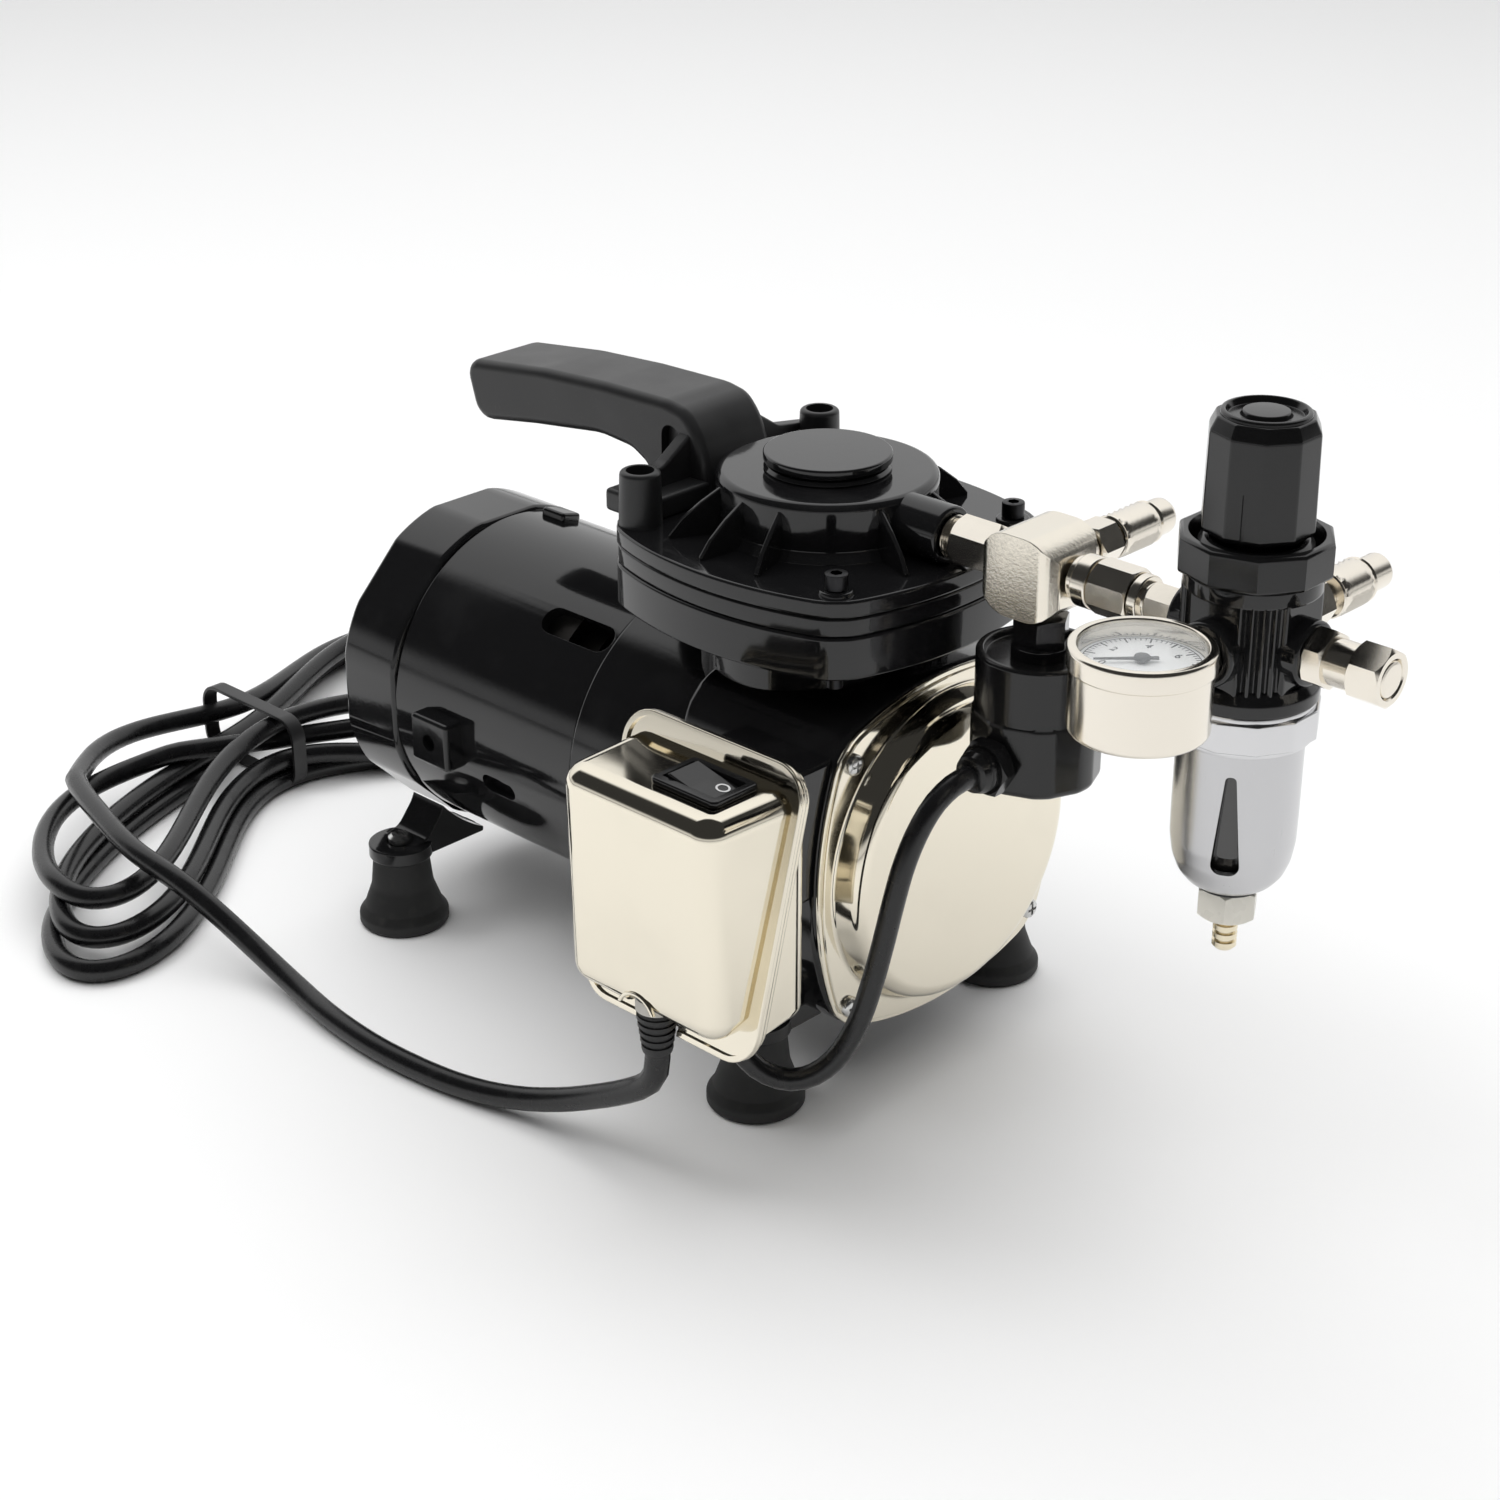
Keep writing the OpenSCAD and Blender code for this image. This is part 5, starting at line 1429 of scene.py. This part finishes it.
class COMPRESSOR_OT_pressure_switch(_Build):
    """Pressure switch, its gland and the lead down to the switch box"""

    bl_idname = "compressor.pressure_switch"
    bl_label = "Pressure switch"

    def build(self, look):
        s, g = Span("pressure_switch"), Span("switch_gland")
        x, r = s.mid.x, 15.3
        split = s.low.z + 19.5
        low = prism(clipped(r + 0.6, r + 0.15, 8, pi / 8), split - s.low.z, (x, 0, s.low.z))
        eased(low, 2.2, 4, 60)
        cap = turned(rounded([(0, split - 1), (r, split - 1), (r, s.high.z), (r - 2, s.high.z),
                              (r - 2.4, s.high.z - 1.7), (0, s.high.z - 1.7)],
                             [0, 0, 1.6, 0.5, 0.3, 0], 5, closed=False), (x, 0, 0), steps=96)
        body = carved(joined(low, cap), rod(3.6, 0, 6, (x, -r + 4, g.mid.z), "-y", 40))
        show(body, "pressure_switch_body", finish("gloss_plastic"), "pressure_switch", smooth=34)

        hexagon = nut(12.6, 4.2, (x, -r - 0.7, g.mid.z), "-y", chamfer=0.7)
        dome = turned([(0, -4.6), (3.5, -4.6), (3.5, 0), (5.4, 4.6), (5.4, 6.4), (5.0, 6.7),
                       (5.0, 7.1), (5.3, 7.4), (4.6, 9), (3.2, 9.7), (0, 9.7)],
                      (x, -r, g.mid.z), "-y", 48)
        show(joined(hexagon, dome), "lead_hex_gland", finish("gloss_plastic"), "switch_gland",
             smooth=32)

        near, far = _row("switch_gland"), _row("lead_gland")
        start = Vector((near[0].x + near[1].x, 0, near[0].z + near[1].z)) / 2
        start.y = near[0].y + 6
        end = Vector(((far[0].x + far[1].x) / 2, (far[0].y + far[1].y) / 2, far[0].z))
        line = spaced([start, start - Vector((0, 6, 0.2)), *LEAD_ROUTE, end,
                       end + Vector((0, 0, 4))], 3)
        lead = cord_curve("switch_lead_cord", line, look.lead * 1000, "jacket")
        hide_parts("switch_lead")
        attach(lead, "compressor")


# ---------------------------------------------------------------- filter and regulator


class COMPRESSOR_OT_regulator(_Build):
    """Regulator body, bonnet, adjusting screw and pull-up knob"""

    bl_idname = "compressor.regulator"
    bl_label = "Regulator"

    def build(self, look):
        b, ring, k = Span("regulator_body"), Span("bonnet_ring"), Span("regulator_knob")
        x, r, port = ring.mid.x, 15.6, Span("outlet_nipple").mid.z
        low, top = b.low.z, b.high.z
        points = []
        for step in range(288):
            a = 2 * pi * step / 288
            off = (a + pi / 4) % (pi / 2) - pi / 4
            reach = min(r, 14.2 / cos(off))
            near = abs(abs(off) - pi / 4)
            if near < radians(20):
                reach = r - 0.55 + 0.55 * cos(near * 2 * pi / radians(10))
            points.append((reach * cos(a), reach * sin(a)))
        body = prism(points, top - 3.6 - low - 3, (x, 0, low + 3))
        collar = turned([(0, top - 4.2), (r, top - 4.2), (r, top), (0, top)], (x, 0, 0), steps=120,
                        soft=[0, 0.8, 0.6, 0])
        rim = turned([(0, low), (r + 1.2, low), (r + 1.2, low + 3.2), (r - 0.4, low + 5.6),
                      (0, low + 5.6)], (x, 0, 0), steps=120, soft=[0, 0.7, 1.4, 1.2, 0])
        bosses = []
        for facing in ("x", "-x", "y", "-y"):
            bosses.append(turned([(0, 9), (7.6, 9), (7.6, r + 2), (5.4, r + 2), (5.1, r + 1.2),
                                  (0, r + 1.2)], (x, 0, port), facing, 64,
                                 soft=[0, 0, 1.0, 0.3, 0.1, 0]))
        body = joined(body, collar, rim, *bosses)
        show(body, "regulator_casting", finish("enamel"), "regulator_body", smooth=34)

        tall = ring.size.z
        skirt = prism(polygon(10, 33.6, pi / 10), tall, (x, 0, ring.low.z), "z", 1.0, 3, 60)
        dish = turned([(0, 2.6), (13.6, 2.6), (14.6, tall - 1), (15.4, tall + 1), (0, tall + 1)],
                      (x, 0, ring.low.z), steps=96, soft=[0, 0.8, 0.5, 0, 0])
        lip = turned([(0, 2), (12.9, 2), (12.9, tall - 2.2), (11.6, tall - 1.2), (0, tall - 1.2)],
                     (x, 0, ring.low.z), steps=96, soft=[0, 0, 0.8, 0.6, 0])
        bonnet = joined(carved(skirt, dish), lip)
        bonnet = carved(bonnet, rod(10.5, -1, 12, (x, 0, ring.low.z), steps=64))
        show(bonnet, "bonnet_collar", finish("gloss_plastic"), "bonnet_ring", smooth=34)
        paint_cad(finish("zinc"), "adjusting_screw")

        low, top = k.low.z, k.high.z
        reach = 12.3 / cos(pi / 10)
        knob = turned([(0, low), (reach - 0.5, low), (reach, low + 0.8), (reach - 0.35, top - 4.2),
                       (reach - 1.9, top - 1), (0, top - 1)], (x, 0, 0), steps=10)
        spun(knob, 18, (x, 0, 0))
        bmesh.ops.dissolve_limit(knob, angle_limit=radians(2), verts=knob.verts,
                                 edges=knob.edges)
        eased(knob, 0.5, 3, 20)
        rim = turned([(0, top - 2.4), (10.2, top - 2.4), (9.9, top - 0.2), (8.9, top),
                      (8.2, top - 1.5), (5.6, top - 1.5), (5.2, top - 0.3), (0, top - 0.1)],
                     (x, 0, 0), steps=96, soft=[0, 0, 0.6, 0.4, 0.3, 0.3, 0.5, 0])
        cup = rod(9, top - 1.6, top + 1, (x, 0, 0))
        knob = joined(carved(knob, cup), rim)
        inside = rod(9.5, low - 1, low + 6, (x, 0, 0))
        socket = prism(polygon(6, 9.3), top - 9 - low, (x, 0, low + 5))
        slot = spun(block((0.9, 1.4, 12), (x, -12.4, low + 5.5), 0), 18, (x, 0, 0))
        knob = carved(knob, inside, socket, slot)
        show(knob, "pull_knob", finish("gloss_plastic"), "regulator_knob", smooth=28)


class COMPRESSOR_OT_gauge(_Build):
    """Pressure gauge with its dial, needle and window"""

    bl_idname = "compressor.gauge"
    bl_label = "Gauge"

    def build(self, look):
        b, d = Span("gauge_case"), Span("gauge_dial")
        x, y, low, top = d.mid.x, d.mid.y, b.low.z, b.high.z
        r, port = b.size.x / 2, Span("outlet_nipple").mid.z
        case = turned(rounded([(0, low), (r - 0.6, low), (r - 0.6, top - 5.2), (r, top - 4.8),
                               (r, top), (r - 2.2, top), (r - 2.4, top - 5), (0, top - 5)],
                              [0, 1.6, 0.3, 0.3, 1.0, 0.5, 0, 0], 5, closed=False), (x, y, 0),
                      steps=120)
        reach = b.high.y - y
        stem = rod(4.2, r - 3, reach - 1, (x, y, port), "y", 48)
        hexagon = nut(10, reach - r - 0.4, (x, y + r + 0.4, port), "y")
        show(joined(case, stem, hexagon), "gauge_cup", finish("fitting"), "gauge_case", smooth=34)

        plate = turned([(0.9, d.low.z), (r - 2.5, d.low.z), (r - 2.5, d.high.z),
                        (0.9, d.high.z)], (x, y, 0), steps=96)
        show(plate, "dial_plate", finish("dial"), "gauge_dial")
        marks, up = [], d.high.z
        for k in range(51):
            long = 2.3 if k % 5 == 0 else 1.2
            wide = 0.34 if k % 5 == 0 else 0.16
            mark = block((wide, long, 0.08), (x, y + r - 3.4 - long / 2, up + 0.02))
            marks.append(spun(mark, 135 - 5.4 * k, (x, y, 0)))
        ring = turned([(r - 3.45, up - 0.02), (r - 3.25, up - 0.02), (r - 3.25, up + 0.05),
                       (r - 3.45, up + 0.05)], (x, y, 0), steps=96)
        marks.append(ring)
        for k in range(6):
            text = bpy.data.curves.new("figure", "FONT")
            text.body, text.size, text.extrude = str(2 * k), 3.0, 0.03
            text.align_x = text.align_y = "CENTER"
            shape = bpy.data.objects.new("figure", text)
            bpy.context.scene.collection.objects.link(shape)
            graph = bpy.context.evaluated_depsgraph_get()
            mesh = bpy.data.meshes.new_from_object(shape.evaluated_get(graph))
            figure = bmesh.new()
            figure.from_mesh(mesh)
            a = radians(225 - 54 * k)
            bmesh.ops.translate(figure, verts=figure.verts,
                                vec=(x + (r - 7.6) * cos(a), y + (r - 7.6) * sin(a), up + 0.04))
            marks.append(figure)
            bpy.data.objects.remove(shape)
            bpy.data.meshes.remove(mesh)
        show(together(*marks), "dial_marks", finish("ink"), body="compressor",
             slot="needle_black")

        n = Span("gauge_needle")
        hub = turned(rounded([(0, n.low.z), (0.7, n.low.z), (0.7, n.high.z - 1.0),
                              (1.9, n.high.z - 1.0), (1.7, n.high.z), (0, n.high.z)],
                             [0, 0, 0, 0.2, 0.4, 0], 3, closed=False), (x, y, 0), steps=36)
        blade = prism([(-0.55, -3.6), (0.55, -3.6), (0.5, 0), (0.12, 10.4), (-0.12, 10.4),
                       (-0.5, 0)], 0.4, (x, y, n.high.z - 0.9))
        spun(blade, 135, (x, y, 0))
        show(joined(hub, blade), "pointer", finish("pointer"), "gauge_needle")
        g = Span("gauge_glass")
        pane = turned([(0, g.low.z), (g.size.x / 2, g.low.z), (g.size.x / 2, g.high.z - 0.3),
                       (g.size.x / 2 - 0.5, g.high.z), (0, g.high.z)], (x, y, 0), steps=96)
        show(pane, "dial_window", finish("window"), "gauge_glass")


class COMPRESSOR_OT_bowl(_Build):
    """Filter bowl with its clamp ring, smoked inner bowl and drain"""

    bl_idname = "compressor.bowl"
    bl_label = "Filter bowl"

    def build(self, look):
        ring, b, drain = Span("bowl_ring"), Span("filter_bowl"), Span("drain_body")
        x, low, top = ring.mid.x, ring.low.z, ring.high.z
        facets = prism(clipped(17.5, 16.9, 12), top - low - 2.4, (x, 0, low + 1.2), "z", 0.5, 3, 60)
        lip = rod(16.2, low, top, (x, 0, 0), steps=120)
        eased(lip, 0.5, 2, 50)
        clamp = carved(joined(facets, lip), rod(14.6, low - 1, top + 1, (x, 0, 0), steps=96))
        show(clamp, "clamp_ring", finish("silver"), "bowl_ring", smooth=24)

        base, wall, r = b.low.z, 1.7, b.size.x / 2
        outer = [(8.0, base), (10.2, base + 1.2), (12.3, base + 3.8), (13.7, base + 7.4),
                 (14.4, base + 12), (r, base + 18), (r, top)]
        inner = [(u - wall, h + (wall * 0.9 if i < 3 else 0.4)) for i, (u, h) in enumerate(outer)]
        inner[-1] = (r - wall, top)
        guard = turned([*rounded(outer, [0, 5, 6, 8, 10, 12, 0], 4, closed=False),
                        *rounded(inner[::-1], [0, 12, 10, 8, 6, 5, 0], 4, closed=False)],
                       (x, 0, 0), steps=120)
        wedge = rounded([(-3.5, 92.6), (3.5, 92.6), (1.2, 117.6), (-1.2, 117.6)],
                        [2.4, 2.4, 1.1, 1.1], 5)
        cuts = [spun(prism(wedge, 9, (x, s * 12 - 4.5, 0), "y"), 28, (x, 0, 0)) for s in (-1, 1)]
        guard = carved(guard, *cuts)
        show(guard, "bowl_guard", finish("satin_chrome"), "filter_bowl", smooth=34)
        bowl = turned([(0, base + 2.6), (6.5, base + 2.8), (10.2, base + 6), (12.1, base + 12),
                       (12.4, base + 20), (12.4, low + 2), (0, low + 2)], (x, 0, 0), steps=96,
                      soft=[0, 3, 5, 5, 5, 0.5, 0])
        bowl = carved(bowl, turned([(0, base + 9), (9.4, base + 11), (11, base + 16),
                                    (11, low + 3), (0, low + 3)], (x, 0, 0), steps=64),
                      rod(3.7, base - 1, base + 10, (x, 0, 0), steps=32))
        show(bowl, "smoked_bowl", finish("smoked"), body="compressor", slot="needle_black")

        z = drain.low.z
        seat = rod(7.6, base - 0.9, base, (x, 0, 0), steps=64)
        eased(seat, 0.3, 2, 50)
        washer = carved(seat, rod(3.6, base - 2, base + 1, (x, 0, 0), steps=40))
        show(washer, "drain_washer", finish("rubber"), body="compressor", slot="black_rubber")
        hexagon = nut(13, base - 0.9 - z, (x, 0, z), "z", chamfer=0.9)
        spigot = rod(3.55, base - 1.2, drain.high.z, (x, 0, 0), steps=40)
        body = carved(joined(hexagon, spigot), rod(2.1, z - 1, base + 9, (x, 0, 0), steps=40))
        show(body, "drain_hex", finish("cream"), "drain_body", smooth=30)
        p = Span("drain_pin")
        shape = [(0, p.low.z), (2.2, p.low.z), (2.6, p.low.z + 0.5)]
        foot = z - 1.6
        ribs = 3
        step = (foot - p.low.z - 0.8) / ribs
        for k in range(ribs):
            h = p.low.z + 0.8 + step * k
            shape += [(2.9, h), (2.9, h + step * 0.55), (2.2, h + step * 0.65),
                      (2.2, h + step * 0.95)]
        shape += [(2.9, foot), (2.0, foot), (2.0, p.high.z), (0, p.high.z)]
        show(turned(shape, (x, 0, 0), steps=40), "drain_stem", finish("brass"), "drain_pin",
             smooth=40)


class COMPRESSOR_OT_outlets(_Build):
    """Hose outlet and rear coupler on the regulator"""

    bl_idname = "compressor.outlets"
    bl_label = "Outlets"

    def build(self, look):
        o, z = Span("hose_outlet"), Span("outlet_nipple").mid.z
        x0, x1 = o.low.x, o.high.x
        first = nut(12.4, 4.9, (x0, 0, z), "x", turn=pi / 6)
        neck = rod(5.4, x0, x1 - 7, (0, 0, z), "x", 56)
        last = nut(12.4, 8.1, (x1 - 8.1, 0, z), "x", chamfer=0.9, turn=pi / 6)
        bore = turned([(0, x1 - 9), (4.3, x1 - 9), (4.3, x1 - 0.8), (4.9, x1 + 0.2), (0, x1 + 0.2)],
                      (0, 0, z), "x", 48)
        drill = rod(2, x0 - 1, x1, (0, 0, z), "x", 32)
        show(carved(joined(first, neck, last), bore, drill), "hose_fitting", finish("fitting"),
             "hose_outlet", smooth=30)
        blank = turned(rounded([(0, x1 - 8.6), (4.25, x1 - 8.6), (4.25, x1 - 0.2), (3.4, x1 + 0.1),
                                (0, x1 + 0.1)], [0, 0, 0.4, 0.4, 0], 3, closed=False), (0, 0, z),
                       "x", 48)
        show(blank, "blanking_plug", finish("fitting"), body="compressor", slot="nickel_fittings")

        c, s = Span("rear_coupler"), Span("rear_coupler_sleeve")
        x, y0, y1 = c.mid.x, c.low.y, c.high.y
        first = nut(11, 8.4, (x, y0, z), "y")
        stem = turned([(0, y0 + 8), (3.2, y0 + 8), (3.2, y1 - 8), (4.4, y1 - 8), (4.4, y1),
                       (0, y1)], (x, 0, z), "y", 48, soft=[0, 0, 0.1, 0.4, 0.7, 0])
        drill = rod(1.6, y0 - 1, y1 + 1, (x, 0, z), "y", 24)
        show(carved(joined(first, stem), drill), "coupler_stem", finish("fitting"), "rear_coupler",
             smooth=30)
        sleeve = knurled(s.size.x / 2, s.size.y, (x, s.low.y, z), "y", rows=11)
        sleeve = carved(sleeve, rod(3.25, -1, 20, (x, s.low.y, z), "y", 40))
        show(sleeve, "coupler_knurl", finish("fitting"), "rear_coupler_sleeve", smooth=28)


# ---------------------------------------------------------------- add-on

BUILD_ORDER = (COMPRESSOR_OT_stage, COMPRESSOR_OT_cords, COMPRESSOR_OT_motor, COMPRESSOR_OT_castings,
               COMPRESSOR_OT_feet, COMPRESSOR_OT_head, COMPRESSOR_OT_handle,
               COMPRESSOR_OT_front_cover, COMPRESSOR_OT_switch_box, COMPRESSOR_OT_air_line,
               COMPRESSOR_OT_pressure_switch, COMPRESSOR_OT_regulator, COMPRESSOR_OT_gauge,
               COMPRESSOR_OT_bowl, COMPRESSOR_OT_outlets)


class COMPRESSOR_PT_panel(bpy.types.Panel):
    """The machine's settings and the steps that build it"""

    bl_idname = "COMPRESSOR_PT_panel"
    bl_label = "Airbrush compressor"
    bl_space_type = "VIEW_3D"
    bl_region_type = "UI"
    bl_category = "Compressor"

    def draw(self, context):
        for group in (context.scene.compressor, context.scene.compressor_stage):
            column = self.layout.column(align=True)
            for key in group.bl_rna.properties.keys():
                if key not in ("rna_type", "name"):
                    column.prop(group, key)
        for step in BUILD_ORDER:
            self.layout.operator(step.bl_idname)


CLASSES = (CompressorSettings, StageSettings, *BUILD_ORDER, COMPRESSOR_PT_panel)


def register():
    for c in CLASSES:
        bpy.utils.register_class(c)
    bpy.types.Scene.compressor = bpy.props.PointerProperty(type=CompressorSettings)
    bpy.types.Scene.compressor_stage = bpy.props.PointerProperty(type=StageSettings)


def unregister():
    del bpy.types.Scene.compressor_stage
    del bpy.types.Scene.compressor
    for c in reversed(CLASSES):
        bpy.utils.unregister_class(c)


def main():
    register()
    for step in BUILD_ORDER:
        group, name = step.bl_idname.split(".")
        getattr(getattr(bpy.ops, group), name)()


if __name__ == "__main__":
    main()
